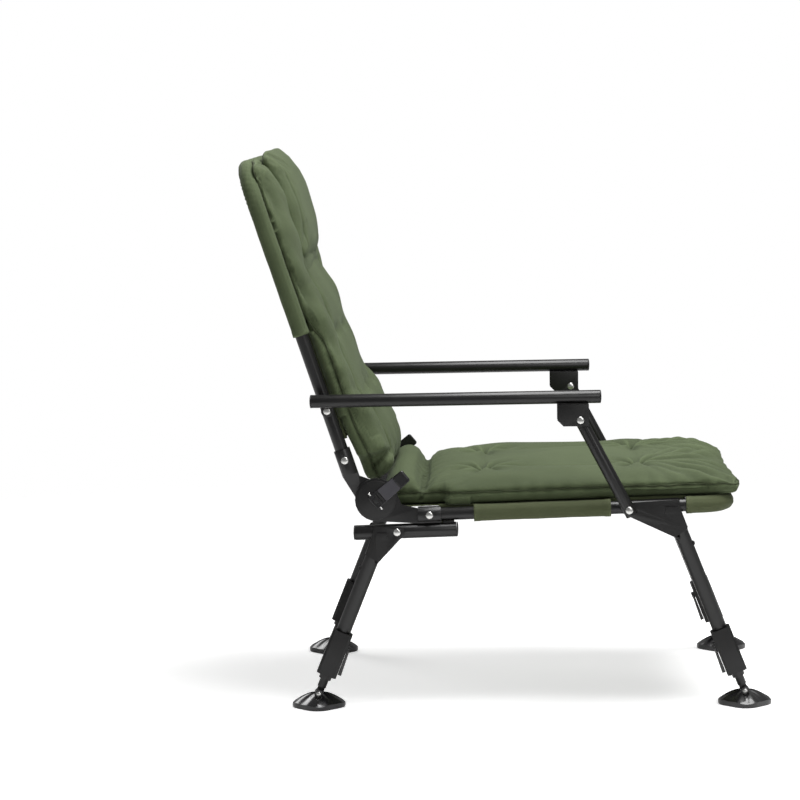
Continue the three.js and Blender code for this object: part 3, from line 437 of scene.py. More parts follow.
for side, hand in sides:
    for end in ends:
        low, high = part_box(f"foot_{end}_{side}")
        centre = Vector(((low.x + high.x) / 2, hand * tube_plane, foot_bolt_height))
        verts, faces = foot_surface(centre)
        foot = shell(
            f"mud_foot_{end}_{side}", verts, faces, gloss_nylon, f"foot_{end}_{side}", "foot_plastic",
            f"foot_{end}_{side}",
        )
        slot_reach = Vector((0.046, 0.0052, 0.0))
        slot_low = centre - slot_reach - Vector((0, 0, 0.0078))
        cut_away(foot, slot_low, centre + slot_reach + Vector((0, 0, 0.02)))
        for across in (1, -1):
            drill(foot, centre + Vector((0, across * 0.0119, 0)), Vector((0, across, 0)), 0.0064, 0.040)
        foot.data.shade_smooth()
        foot.data.set_sharp_from_angle(angle=math.radians(38))
        arch = [(centre.x + 0.0118, 0.0150), (centre.x + 0.0090, 0.0190)]
        for step in range(11):
            turn = math.pi * step / 10
            arch.append((centre.x + 0.0082 * math.cos(turn), foot_bolt_height + 0.0078 * math.sin(turn)))
        arch += [(centre.x - 0.0090, 0.0190), (centre.x - 0.0118, 0.0150)]
        for number, across in enumerate((1, -1)):
            inner, outer = (centre.y + across * reach for reach in (0.0054, 0.0112))
            rounded_bar(
                f"foot_ear_{number}_{end}_{side}", arch, inner, outer, 0.0012, gloss_nylon,
                f"foot_{end}_{side}", "foot_plastic",
            )


# Release levers: glossy dark nylon paddles, one on each recline hinge, that slide over the hinge
# bolt. Each has a raised grip, a window over the bolt and two steel pins through its root.
disc_low, disc_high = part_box("hinge_cap_left")
hinge_x = (disc_low.x + disc_high.x) / 2
hinge_z = (disc_low.z + disc_high.z) / 2
lever_angle = math.radians(40)


def lever_point(out, up):
    return (
        hinge_x + out * math.cos(lever_angle) - up * math.sin(lever_angle),
        hinge_z + out * math.sin(lever_angle) + up * math.cos(lever_angle),
    )


def tapered(start, end, wide_start, wide_end, corner):
    """Outline of a lever plate whose width changes evenly, with cut corners."""
    a, b = wide_start / 2, wide_end / 2
    outline = [(start, -a + corner), (start + corner, -a), (end - corner, -b), (end, -b + corner)]
    outline += [(end, b - corner), (end - corner, b), (start + corner, a), (start, a - corner)]
    return [lever_point(*p) for p in outline]


lever_grey = hard_finish(
    "satin_grey_nylon", (0.052, 0.050, 0.060), (0.080, 0.078, 0.086), 0.40, 900.0, 0.08,
    coat=0.15, coat_roughness=0.2,
)
for side, hand in sides:
    low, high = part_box(f"recline_lever_{side}")
    near, far = (low.y, high.y) if hand > 0 else (high.y, low.y)
    depth = far - near
    root = near + depth * 0.60
    body = f"lever_{side}"
    rounded_bar(
        f"release_lever_{side}", tapered(-0.0085, 0.0655, 0.0265, 0.0225, 0.0025), near, near + depth * 0.66,
        0.0012, gloss_nylon, body, "black_plastic", f"recline_lever_{side}",
    )
    rounded_bar(
        f"lever_plate_{side}", tapered(0.0125, 0.0440, 0.0240, 0.0226, 0.0010), root, near + depth * 0.90,
        0.0006, lever_grey, body, "black_plastic",
    )
    rounded_bar(
        f"lever_grip_{side}", tapered(0.0444, 0.0650, 0.0228, 0.0218, 0.0025), root, far, 0.0014,
        gloss_nylon, body, "black_plastic",
    )
    for number, out in enumerate((0.0040, 0.0092)):
        rounded_bar(
            f"lever_rib_{number}_{side}", tapered(out - 0.0015, out + 0.0015, 0.0170, 0.0170, 0.0004),
            root, near + depth * 0.92, 0.0004, moulded_nylon, body, "black_plastic",
        )
    across_lever = Vector((-math.sin(lever_angle), 0, math.cos(lever_angle)))
    for edge, up in (("low", -1), ("high", 1)):
        x, z = lever_point(-0.002, up * 0.0120)
        outline = [(0.0, 0.0016), (0.0042, 0.0016), (0.0044, 0.0023)] + dome(0.0052, 0.0062, 0.0023, 3)
        where = (x, near + depth * 0.40, z)
        set_in(
            f"lever_pin_{edge}_{side}", outline, where, across_lever * up, zinc_plate, body, "rivet_steel", 20
        )


# Stop buttons: small moulded studs pressed into the outward edge of each leg tube, under its
# bracket, where they keep the inner leg from coming out.
for side, hand in sides:
    for end, lean, rise, sense in (("rear", 22.0, 0.224, -1), ("front", -21.5, 0.264, 1)):
        low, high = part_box(f"foot_{end}_{side}")
        tilt = math.radians(lean)
        outward = Vector((math.cos(tilt), 0, -math.sin(tilt))) * sense
        upward = Vector((math.sin(tilt), 0, math.cos(tilt)))
        base = Vector(((low.x + high.x) / 2, hand * tube_plane, foot_bolt_height))
        outline = [(0.0, 0.0042), (0.0014, 0.0042)] + dome(0.0014, 0.0036, 0.0036)
        base += upward * rise + outward * 0.0118
        set_in(
            f"leg_button_{end}_{side}", outline, base, outward, moulded_nylon, f"leg_{end}_{side}",
            "black_plastic", 24,
        )


# Olive covers: closely woven polyester, cut in panels and sewn. The pads are the brighter cloth,
# and the slings and sleeves a heavier and darker canvas.
woven_cloth, given, made, where = surface_group(
    "woven_cloth", Shade=(0.03, 0.05, 0.02, 1), Light=(0.10, 0.15, 0.08, 1), Threads=1300.0
)


def weave(operation, first, second=None):
    return maths(woven_cloth, operation, first, second)


split = woven_cloth.nodes.new("ShaderNodeSeparateXYZ")
waves = []
for axis in range(3):
    turns = weave("MULTIPLY", split.outputs[axis], given["Threads"])
    waves.append(weave("SINE", weave("MULTIPLY", turns, 2 * math.pi)))
crossings = [weave("MULTIPLY", waves[i], waves[(i + 1) % 3]) for i in range(3)]
threads = weave("ADD", weave("ADD", crossings[0], crossings[1]), crossings[2])
slub = place(woven_cloth, "ShaderNodeTexNoise", Scale=420.0, Detail=3.0, Roughness=0.6)
fade = place(woven_cloth, "ShaderNodeTexNoise", Scale=6.5, Detail=6.0, Roughness=0.55)
# Painted light and shade: the mesh's pointiness colours the cloth lighter on its ridges and darker in its
# creases.
crease_geometry = woven_cloth.nodes.new("ShaderNodeNewGeometry")
painted_ridge_light_crease_shade = weave("MULTIPLY", weave("SUBTRACT", crease_geometry.outputs["Pointiness"], 0.5), 7.0)
tone = weave("MULTIPLY", threads, 0.10)
tone = weave("ADD", tone, weave("MULTIPLY", slub.outputs["Fac"], 0.38))
tone = weave("ADD", tone, weave("MULTIPLY", fade.outputs["Fac"], 0.62))
tone = weave("ADD", tone, painted_ridge_light_crease_shade)
link(
    woven_cloth, (where, split.inputs[0]), (where, slub.inputs["Vector"]), (where, fade.inputs["Vector"]),
    (blend_colours(woven_cloth, tone, given["Shade"], given["Light"]), made["Colour"]),
    (weave("ADD", weave("MULTIPLY", slub.outputs["Fac"], 0.16), 0.72), made["Roughness"]),
    (weave("ADD", threads, weave("MULTIPLY", slub.outputs["Fac"], 1.4)), made["Height"]),
)


def cloth_finish(name, shade, light, threads_per_metre, relief, sheen):
    inputs = {"Shade": (*shade, 1), "Light": (*light, 1), "Threads": threads_per_metre}
    return finish(name, woven_cloth, inputs, relief, 0.00025, {
        "Specular IOR Level": 0.32, "Sheen Weight": sheen, "Sheen Roughness": 0.45,
        "Sheen Tint": (0.72, 0.80, 0.66, 1),
    })


pad_cloth = cloth_finish(
    "moss_green_polyester", (0.034, 0.047, 0.018), (0.122, 0.158, 0.076), 1150.0, 0.35, 0.10
)
sling_cloth = cloth_finish(
    "dark_olive_canvas", (0.052, 0.064, 0.026), (0.108, 0.126, 0.060), 850.0, 0.5, 0.06
)
# Piping cloth darker than the pad cloth: painted shade for the shadow in the seams' grooves.
seam_shade_cloth = cloth_finish("olive_piping_painted_shade", (0.024, 0.032, 0.012), (0.050, 0.064, 0.028), 700.0, 0.5, 0.0)


# Seat sling and back cover: canvas stretched over the frame tubes. Each is a panel with sleeves
# sewn round the tubes, and the sleeves end in a folded hem.
def sweep(points, radius_at, count):
    """Verts and faces of a skin round a line. radius_at takes the shares along and around it."""
    line = np.array(points, float)
    steps = np.linalg.norm(np.diff(line, axis=0), axis=1)
    shares = np.concatenate([[0], np.cumsum(steps)]) / steps.sum()
    tangents = np.gradient(line, axis=0)
    tangents /= np.linalg.norm(tangents, axis=1)[:, None]
    side = np.cross(tangents[0], (0.0, 0.0, 1.0))
    if np.linalg.norm(side) < 1e-3:
        side = np.cross(tangents[0], (0.0, 1.0, 0.0))
    verts, faces = [], []
    for i, (centre, tangent) in enumerate(zip(line, tangents)):
        side = side - tangent * (side @ tangent)
        side /= np.linalg.norm(side)
        up = np.cross(side, tangent)
        for step in range(count):
            turn = 2 * math.pi * step / count
            reach = radius_at(shares[i], turn)
            verts.append(centre + reach * (math.cos(turn) * side + math.sin(turn) * up))
    for i in range(len(line) - 1):
        faces += band(i * count, count)
    return verts, faces


def dip(distance, width):
    """Soft bump of height 1, for one distance or an array of them."""
    return np.exp(-((distance / width) ** 2))


def wander(seed, *shares):
    """Smooth repeatable unevenness from a few sine waves."""
    total = 0.0
    for i, share in enumerate(shares):
        slow = math.sin(share * (7.3 + 3.1 * i) + seed * 1.7 + i)
        total += slow + 0.5 * math.sin(share * (17.9 + 5.3 * i) + seed * 0.9)
    return total / (1.5 * len(shares))


def fine(points, spacing):
    """The same line with points no further apart than spacing."""
    made = [Vector(points[0])]
    for a, b in zip(points, points[1:]):
        a, b = Vector(a), Vector(b)
        count = max(1, math.ceil((b - a).length / spacing))
        made += [a.lerp(b, (i + 1) / count) for i in range(count)]
    return made


sleeve_radius = 0.0129
hem_length = 0.012


def sleeve(name, points, body, seed, cloth, gathers=None):
    line = fine(points, 0.004)
    length = sum((b - a).length for a, b in zip(line, line[1:]))

    def radius_at(share, turn):
        near_end = min(share, 1 - share) * length
        hem = 0.0007 if near_end < hem_length else 0.0
        stitch = -0.0006 * dip(near_end - hem_length, 0.0015)
        loose = 0.0005 * wander(seed, share * length * 9, turn)
        folds = gathers(share * length, turn) if gathers else 0.0
        return sleeve_radius + hem + stitch + max(loose + folds, -0.0006)

    piece = shell(name, *sweep(line, radius_at, 40), cloth, body, "sling_fabric")
    modify(piece, "canvas", "SOLIDIFY", thickness=0.0009, offset=1.0)


def binding(name, span, body):
    """Folded strip that edges a panel where it has no sleeve."""
    shell(name, *sweep(fine(span, 0.006), lambda share, turn: 0.0034, 12), sling_cloth, body, "sling_fabric")


def tilted(origin_x, origin_z, degrees):
    """Frame with x square to a tube that leans back and z along it."""
    c = math.cos(math.radians(degrees))
    s = math.sin(math.radians(degrees))
    return Matrix(((c, 0, -s, origin_x), (0, 1, 0, 0), (s, 0, c, origin_z), (0, 0, 0, 1)))


back_lean, rail_lean = 18.35, 1.6
tube_setback = 0.028
back_frame = tilted(hinge_x, hinge_z, back_lean) @ Matrix.Translation((-tube_setback, 0, 0))
seat_frame = tilted(hinge_x + 0.069, hinge_z - 0.0265, rail_lean)


def on(frame_matrix, *place_in_frame):
    return frame_matrix @ Vector(place_in_frame)


def panel(name, outline_half, run, rise, body, matrix, seed, *replaced):
    """Stretched cloth between two tubes: half width at each place along the frame."""
    rows, columns = 90, 80
    verts, faces = [], []
    for row in range(rows + 1):
        along = run[0] + (run[1] - run[0]) * row / rows
        half = outline_half(along)
        for column in range(columns + 1):
            share = 2 * column / columns - 1
            slack = 0.0014 * (1 - share ** 2) * (1 + 0.6 * wander(seed, along * 12, share * 2))
            ripple = 0.0006 * wander(seed + 3, along * 60, share) * abs(share) ** 3
            verts.append(matrix((along, share * half, rise + ripple - slack)))
    for row in range(rows):
        for column in range(columns):
            a = row * (columns + 1) + column
            faces.append((a, a + 1, a + columns + 2, a + columns + 1))
    piece = shell(name, verts, faces, sling_cloth, body, "sling_fabric", *replaced)
    modify(piece, "canvas", "SOLIDIFY", thickness=0.0012, offset=0.0)
    return piece


rail_low, rail_high, front_low = 0.093, 0.321, 0.446
seat_reach, seat_bend = 0.515, 0.045
back_reach, back_bend = 0.590, 0.070
cover_low, pocket_low = 0.112, 0.300
panel_height = 0.0126
edge_plane = tube_plane - 0.0165
edge_height = 0.0112


def sleeved_half(along, reach, bend):
    """Half width of a panel that runs into its sleeves, with the tube's corner at its end."""
    over = max(0.0, along - (reach - bend)) / bend
    return tube_plane - 0.002 - bend * (1 - math.sqrt(max(0.0, 1 - over ** 2)))


def seat_half(run):
    sleeved = rail_low <= run <= rail_high or run >= front_low
    return sleeved_half(run, seat_reach, seat_bend) if sleeved else tube_plane - 0.017


def bent_line(matrix, low, reach, bend):
    """Line of a tube bent into a U, from one open end to the other, in the tube's own frame."""
    line = [matrix(low, tube_plane)]
    for hand in (1, -1):
        corner = []
        for step in range(15):
            turn = math.pi / 2 * step / 14
            across = tube_plane - bend + bend * math.cos(turn)
            corner.append(matrix(reach - bend + bend * math.sin(turn), hand * across))
        line += corner if hand > 0 else corner[::-1]
    return line + [matrix(low, -tube_plane)]


seat_area = panel(
    "seat_sling_panel", seat_half, (-0.036, seat_reach), panel_height, "frame",
    lambda p: on(seat_frame, *p), 2, "seat_sling",
)
for side, hand in sides:
    line = [on(seat_frame, run, hand * tube_plane, 0) for run in (rail_low, rail_high)]
    sleeve(f"rail_sleeve_{side}", line, "frame", 5 + hand, sling_cloth)
    for name, *span in (("rear", 0.034, rail_low), ("front", rail_high, front_low)):
        edge_line = [on(seat_frame, run, hand * edge_plane, edge_height) for run in span]
        binding(f"sling_binding_{name}_{side}", edge_line, "frame")
front_line = bent_line(lambda run, y: on(seat_frame, run, y, 0), front_low, seat_reach, seat_bend)
sleeve("front_sleeve", front_line, "frame", 9, sling_cloth)


def back_half(rise):
    return tube_plane - 0.017 if rise < pocket_low else sleeved_half(rise, back_reach, back_bend)


back_area = panel(
    "back_cover_panel", back_half, (cover_low, back_reach), panel_height, "back",
    lambda p: on(back_frame, p[2], p[1], p[0]), 4, "back_sling",
)
u_line = bent_line(lambda rise, y: on(back_frame, 0, y, rise), pocket_low, back_reach, back_bend)
side_run = back_reach - back_bend - pocket_low
corner_run = back_bend * math.pi / 2


def corner_gathers(along, turn):
    total = 2 * side_run + 2 * corner_run + 2 * (tube_plane - back_bend)
    near = min(along, total - along) - side_run - corner_run * 0.45
    strength = dip(near, 0.045) * (0.6 + 0.4 * math.cos(turn * 3))
    return 0.0016 * strength * math.sin(along * 900 + 2.2 * math.sin(turn * 2))


sleeve("back_cover_sleeve", u_line, "back", 12, pad_cloth, corner_gathers)
for side, hand in sides:
    edge_line = [on(back_frame, edge_height, hand * edge_plane, rise) for rise in (cover_low, pocket_low)]
    binding(f"cover_binding_{side}", edge_line, "back")


# Seat pad: foam in a sewn cover. It lies on its sling and turns up into a roll at the back. Lines of
# stitching and tufts pull it down, and the cover gathers and folds where it is sewn.
def smooth(x, low, high):
    """Even rise from 0 at low to 1 at high, for one place or an array of them."""
    t = np.clip((x - low) / (high - low), 0, 1)
    return t * t * (3 - 2 * t)


def height_at(profile, where):
    for (x0, h0), (x1, h1) in zip(profile, profile[1:]):
        if where <= x1:
            return h0 + (h1 - h0) * smooth(where, x0, x1)
    return profile[-1][1]


def pad_edge(span, half_at, drawn, corner, hollow, u, v):
    """Place of the point at shares u along and v across a pad, with drawn-in sides and ends."""
    where = span[0] + u * (span[1] - span[0])
    cut = corner * abs((2 * u - 1) * v) ** 6
    pull = drawn * (1 - v * v) + cut
    if u > 0.5:
        pull += hollow * (1 - v * v) ** 1.5 * (2 * u - 1)
    half = half_at(where)
    return where + pull * (1 - 2 * u), v * (half - drawn * math.sin(math.pi * u) - cut), half


def pad_form(name, edge, rim_at, thickness_at, edge_round, matrix, rows=110, columns=100):
    """Closed crowned form of two panels that meet at a rim. Heights are over the pad's underside."""
    verts, faces = [], []
    length = edge[0][1] - edge[0][0]

    def swell(distance, reach):
        return math.sqrt(max(0.0, 1 - max(0.0, 1 - distance / reach) ** 2))

    for top in (True, False):
        reach = edge_round if top else edge_round * 0.4
        for row in range(rows + 1):
            u = (1 - math.cos(math.pi * row / rows)) / 2
            for column in range(columns + 1):
                v = -math.cos(math.pi * column / columns)
                x, y, half = pad_edge(*edge, u, v)
                full = swell(min(u, 1 - u) * length, reach) * swell((1 - abs(v)) * half, reach)
                rim = rim_at(x)
                z = rim + full * (thickness_at(x, y) - rim) if top else rim * (1 - full)
                verts.append(matrix((x, y, z)))
    width = columns + 1
    lower = width * (rows + 1)
    for row in range(rows):
        for column in range(columns):
            a = row * width + column
            faces.append((a, a + width, a + width + 1, a + 1))
            faces.append((lower + a, lower + a + 1, lower + a + width + 1, lower + a + width))
    mesh = bpy.data.meshes.new(name)
    mesh.from_pydata([tuple(v) for v in verts], [], faces)
    work = bmesh.new()
    work.from_mesh(mesh)
    bmesh.ops.remove_doubles(work, verts=work.verts, dist=0.00002)
    bmesh.ops.recalc_face_normals(work, faces=work.faces)
    work.to_mesh(mesh)
    work.free()
    return into_scene(name, mesh)


def read_points(mesh, kind="co"):
    values = np.zeros(len(mesh.vertices) * 3)
    mesh.vertices.foreach_get(kind, values)
    return values.reshape(-1, 3)


def inflate(piece, matrix, held_at, furthest, voxel=0.0055, frames=20):
    """Remeshes a form and lets cloth under pressure fill it out between its sewn lines."""
    back = matrix.inverted()
    modify(piece, "even", "REMESH", mode="VOXEL", voxel_size=voxel)
    mesh = baked(piece)
    start = read_points(mesh)
    local = start @ np.array(back.to_3x3()).T + np.array(back.translation)
    sewn = piece.vertex_groups.new(name="sewn")
    for i, point in enumerate(local):
        sewn.add([i], held_at(*point), "REPLACE")
    cloth = piece.modifiers.new("cover", "CLOTH")
    cloth.settings.quality = 4
    cloth.settings.mass = 0.25
    cloth.settings.tension_stiffness = 12
    cloth.settings.compression_stiffness = 12
    cloth.settings.shear_stiffness = 4
    cloth.settings.bending_stiffness = 0.15
    cloth.settings.use_pressure = True
    cloth.settings.uniform_pressure_force = 4
    cloth.settings.vertex_group_mass = "sewn"
    cloth.settings.effector_weights.gravity = 0
    cloth.collision_settings.use_collision = False
    cloth.point_cache.frame_start = 1
    cloth.point_cache.frame_end = frames
    for number in range(1, frames + 1):
        bpy.context.scene.frame_set(number)
    depsgraph = bpy.context.evaluated_depsgraph_get()
    move = read_points(piece.evaluated_get(depsgraph).data) - start
    size = np.linalg.norm(move, axis=1)
    move *= (np.minimum(size, furthest) / np.maximum(size, 1e-9))[:, None]
    piece.modifiers.clear()
    piece.vertex_groups.clear()
    mesh.vertices.foreach_set("co", (start + move).ravel())
    bpy.context.scene.frame_set(1)
    mesh.update()


def sculpt(piece, matrix, moved_by):
    """Splits each face once more, then moves each point along its normal by moved_by."""
    modify(piece, "finer", "SUBSURF", levels=1)
    mesh = baked(piece)
    back = matrix.inverted()
    turn = np.array(back.to_3x3())
    points = read_points(mesh)
    normals = read_points(mesh, "normal")
    local = points @ turn.T + np.array(back.translation)
    facing = normals @ turn.T
    offset = moved_by(local, facing)
    mesh.vertices.foreach_set("co", (points + normals * offset[:, None]).ravel())
    mesh.update()
    mesh.shade_smooth()


def sewn_line(name, pad, points, radius, body):
    """Piping along a line, laid on the pad's surface."""
    laid = []
    for point in fine(points, 0.006):
        found, nearest, normal, _ = pad.closest_point_on_mesh(point)
        laid.append(nearest + normal * radius * 0.6 if found else point)
    for _ in range(3):
        laid = [(a + b + b + c) / 4 for a, b, c in zip([laid[0]] + laid, laid, laid[1:] + [laid[-1]])]
    shell(name, *sweep(laid, lambda share, turn: radius, 8), seam_shade_cloth, body, "cushion_fabric")


def held(x, y, z, span, half, rim_height, stitched):
    """How firmly the cover is held at a place: at its rim, its stitching and its underside."""
    rim = max(dip(abs(y) - half, 0.012), dip(x - span[0], 0.012), dip(x - span[1], 0.012))
    under = 1.0 if z < 0.006 else 0.0
    return min(1.0, max(rim * dip(z - rim_height, 0.010), stitched, under))


pad_lift = 0.0142
seam_depth = 0.0030
seam_width = 0.0035
wing_line = 0.165
channel_width = 0.0085
edge_round = 0.026
seat_span = (-0.064, 0.546)
seat_rim_height = 0.020
seat_profile = [
    (-0.066, 0.018), (-0.052, 0.040), (-0.036, 0.057), (-0.022, 0.060), (-0.008, 0.055), (0.008, 0.030),
    (0.030, 0.047), (0.200, 0.050), (0.420, 0.048), (0.500, 0.043), (0.548, 0.028),
]
tuft_runs = (0.112, 0.372)
tuft_across = 0.122
seat_place = seat_frame @ Matrix.Translation((0, 0, pad_lift))


def seat_pad_half(run):
    return 0.234 + 0.018 * smooth(run, 0.040, 0.052)


def seat_stitching(x, y):
    """Depth of the seat's stitching: a ring of channels through the four tufts."""
    side = abs(y)
    ring = 0.0
    if tuft_runs[0] <= x <= tuft_runs[1]:
        ring = 0.55 * dip(side - tuft_across, channel_width)
    if side <= tuft_across:
        ring = max(ring, *(0.45 * dip(x - run, channel_width) for run in tuft_runs))
    tuft = max(dip(math.hypot(x - run, side - tuft_across), 0.015) for run in tuft_runs)
    return 0.012 * max(ring, 1.25 * tuft)


def seat_thickness(x, y):
    stitched = seat_stitching(x, y) if x > 0.02 else 0.0
    return height_at(seat_profile, x) - 0.012 * (y / 0.252) ** 2 - stitched


def seat_rim(run):
    return seat_rim_height


def on_seat(p):
    return on(seat_place, *p)


seat_edge = (seat_span, seat_pad_half, 0.005, 0.011, 0.010)
seat_pad = pad_form("seat_pad", seat_edge, seat_rim, seat_thickness, edge_round, on_seat)


def seat_held(x, y, z):
    stitched = min(1.0, seat_stitching(x, y) / 0.006) if x > 0.02 else dip(x - 0.006, 0.010)
    return held(x, y, z, seat_span, seat_pad_half(x), seat_rim_height, stitched)


inflate(seat_pad, seat_place, seat_held, 0.008)


def seat_folds(local, facing):
    x, y, z = local.T
    side = np.abs(y)
    up = facing[:, 2]
    half = seat_pad_half(x)
    seam = dip(z - seat_rim_height, seam_width)
    sides_seam = seam * (side > half - 0.03) * (np.abs(facing[:, 1]) > 0.35)
    out = -seam_depth * np.maximum(sides_seam, seam * (np.abs(facing[:, 0]) > 0.5))
    gather = dip(z - seat_rim_height, 0.011) * (side > half - 0.035)
    out += 0.0012 * gather * np.sin(x * 190 + 1.5 * np.sin(x * 31)) * (up > -0.6)
    front_gather = dip(z - seat_rim_height, 0.016) * (x > seat_span[1] - 0.06)
    out += 0.0011 * front_gather * np.sin(y * 150 + 1.7 * np.sin(y * 23))
    front = dip(x - 0.49, 0.055) * (up > 0.2)
    out += 0.0032 * front * np.sin(y * 96 + 2.0 * np.sin(x * 26))
    for run in tuft_runs:
        for hand in (1, -1):
            dx, dy = x - run, y - hand * tuft_across
            ray = dip(np.hypot(dx, dy) - 0.035, 0.030) * (up > 0.3)
            out += 0.0040 * ray * np.sin(np.arctan2(dy, dx) * 7 + hand + 3 * run)
    crease = dip(x - 0.002 - 0.30 * z, 0.0045) * (z > 0.004) * (up > -0.5)
    out -= 0.0050 * crease
    fan = dip(x - 0.475, 0.060) * (x > 0.385) * (up > 0.15)
    angle = np.arctan2(side - tuft_across, np.maximum(x - tuft_runs[1], 0.001))
    out += 0.0030 * fan * np.sin(angle * 24 + 1.4 * np.sin(side * 31))
    on_rail = (side > 0.236) & (up < -0.2)
    out += 0.0028 * on_rail * (x > 0.045) * (x < 0.088)
    out -= 0.0020 * on_rail * smooth(x, 0.320, 0.345)
    back_fold = dip(x - 0.022, 0.020) * (up > 0.2)
    out += 0.0012 * back_fold * np.sin(y * 130 + 1.3 * np.sin(y * 17))
    out += 0.0016 * np.sin(x * 23 + 1.2) * np.sin(y * 19 + 0.4) * (up > 0.2)
    shoulder = dip(side - 0.215, 0.022) * (up > 0.15) * (x > 0.05)
    out += 0.0022 * shoulder * np.sin(x * 44 + 1.9 * np.sin(x * 13))
    return out


sculpt(seat_pad, seat_place, seat_folds)
belongs(seat_pad, pad_cloth, "frame", "cushion_fabric", "seat_cushion")


# Piping round the seat pad: a rolled strip where the top and bottom panels are sewn together, low on the
# side. Its cloth is darker than the pad's, as painted shade for the shadow in the seam's groove.
def pad_rim(edge, rim_at, matrix, steps=90):
    line = []
    shares = [-1 + 2 * i / steps for i in range(steps)]
    ring = [(share, -1) for share in shares] + [(1, share) for share in shares]
    ring += [(-share, 1) for share in shares] + [(-1, -share) for share in shares + [1]]
    for along, v in ring:
        x, y, _ = pad_edge(*edge, (along + 1) / 2, v)
        line.append(matrix((x, y, rim_at(x))))
    return line


piping_radius = 0.0011
sewn_line("seat_piping", seat_pad, pad_rim(seat_edge, seat_rim, on_seat), piping_radius, "frame")


# Back pad: one long cover over foam, held under the back cover at its head and free below it, where
# its side shows its piping. Channels run down beside both wings, and tufted lines cross the middle.
back_span = (0.018, 0.604)
back_profile = [
    (0.016, 0.030), (0.034, 0.052), (0.050, 0.060), (0.080, 0.061), (0.140, 0.058), (0.190, 0.043),
    (0.330, 0.041), (0.398, 0.027), (0.440, 0.030), (0.560, 0.028), (0.606, 0.016),
]
back_lines = (0.165, 0.280)
back_place = back_frame @ Matrix(((0, 0, 1, pad_lift), (0, 1, 0, 0), (1, 0, 0, 0), (0, 0, 0, 1)))


def back_rim(rise):
    return 0.019 - 0.022 * smooth(rise, 0.270, 0.330)


def stand_off(rise):
    """How far the pad's foot stands off the tubes, where it leans on the seat's roll."""
    return 0.006 * (1 - smooth(rise, 0.070, 0.140))


def back_stitching(x, y):
    side = abs(y)
    channel = 1.35 * dip(side - wing_line, channel_width) * (x < 0.40)
    across = 0.0
    if side < wing_line:
        tuft = 0.55 + 0.45 * math.cos(2 * math.pi * y / 0.11)
        across = max(dip(x - line, channel_width) for line in back_lines) * tuft
    return 0.010 * max(channel, min(1.0, across))


def back_thickness(x, y):
    thick = height_at(back_profile, x)
    if x >= 0.30:
        wing = max(min(thick, 0.041), 0.030)
        thick += (wing - thick) * smooth(abs(y), 0.165, 0.190)
    return thick - 0.010 * (y / 0.252) ** 2 - back_stitching(x, y)


def back_pad_half(rise):
    return 0.232 + 0.020 * smooth(rise, 0.062, 0.076)


def on_back(p):
    return on(back_place, p[0], p[1], p[2] + stand_off(p[0]))


back_edge = (back_span, back_pad_half, 0.006, 0.016, 0.0)
back_pad = pad_form("back_pad", back_edge, back_rim, back_thickness, edge_round, on_back)


def back_held(x, y, z):
    stitched = min(1.0, back_stitching(x, y) / 0.006)
    return held(x, y, z - stand_off(x), back_span, back_pad_half(x), back_rim(x), stitched)


inflate(back_pad, back_place, back_held, 0.008)


def back_folds(local, facing):
    x, y, z = local.T
    side = np.abs(y)
    up = facing[:, 2]
    from_rim = z - (back_rim(x) + stand_off(x))
    tuck = dip(x - 0.052 - 0.4 * (z - 0.03), 0.006) * (side > 0.19) * (z > 0.020)
    out = -0.0055 * tuck
    out += 0.0030 * ((side > 0.225) & (up < -0.2) & (x > 0.15) & (x < 0.30))
    near_side = (side > 0.215) & (np.abs(facing[:, 1]) > 0.35)
    out -= seam_depth * dip(from_rim, seam_width) * near_side * (x < 0.33)
    gather = dip(from_rim, 0.012) * (side > 0.215)
    out += 0.0009 * gather * np.sin(x * 170 + 1.6 * np.sin(x * 29))
    ridge = dip(side - 0.236, 0.012) * (up > 0.25)
    out += 0.0036 * ridge * np.sin(x * 46 + 1.4 * np.sin(x * 19)) * (x > 0.10)
    wing = (side > wing_line) & (up > 0.4)
    out += 0.0016 * wing * np.sin(x * 75 + y * 40)
    out += 0.0026 * np.sin(x * 27 + 0.7) * np.sin(y * 21 + 1.1) * (up > 0.2)
    low_end = dip(x - 0.075, 0.025) * (up > 0.1)
    out += 0.0012 * low_end * np.sin(y * 120 + np.sin(y * 31))
    return out


sculpt(back_pad, back_place, back_folds)
belongs(back_pad, pad_cloth, "back", "cushion_fabric", "back_cushion")
sewn_line("back_piping", back_pad, pad_rim(back_edge, back_rim, on_back), piping_radius, "back")


# Head pillow: a separate stuffed roll sewn on the head of the back pad, as wide as the space
# between the wings, with a seam along its front.
pillow_span = (0.404, 0.612)
pillow_half = 0.180
pillow_base = 0.012
pillow_profile = [
    (0.404, 0.020), (0.430, 0.029), (0.480, 0.036), (0.530, 0.038), (0.575, 0.033), (0.606, 0.020),
]
pillow_place = back_place @ Matrix.Translation((0, 0, pillow_base))


def pillow_thickness(x, y):
    return height_at(pillow_profile, x) - 0.006 * (y / pillow_half) ** 2


pillow_edge = (pillow_span, lambda x: pillow_half, 0.003, 0.012, 0.0)
pillow = pad_form(
    "head_pillow", pillow_edge, lambda x: 0.015, pillow_thickness, 0.030, lambda p: on(pillow_place, *p),
    rows=60, columns=90,
)


def pillow_held(x, y, z):
    return 1.0 if z < 0.008 else 0.0


inflate(pillow, pillow_place, pillow_held, 0.005)


def pillow_folds(local, facing):
    x, y, _ = local.T
    beyond_seam = np.abs(y) - 0.150
    out = 0.0010 * np.sin(y * 60 + 2.2 * np.sin(x * 40)) * dip(x - 0.42, 0.03)
    out -= 0.0024 * dip(beyond_seam, seam_width) * (facing[:, 2] > 0.1)
    out += 0.0012 * np.sin(x * 95 + y * 14) * (beyond_seam > 0)
    return out


sculpt(pillow, pillow_place, pillow_folds)
belongs(pillow, pad_cloth, "back", "cushion_fabric")


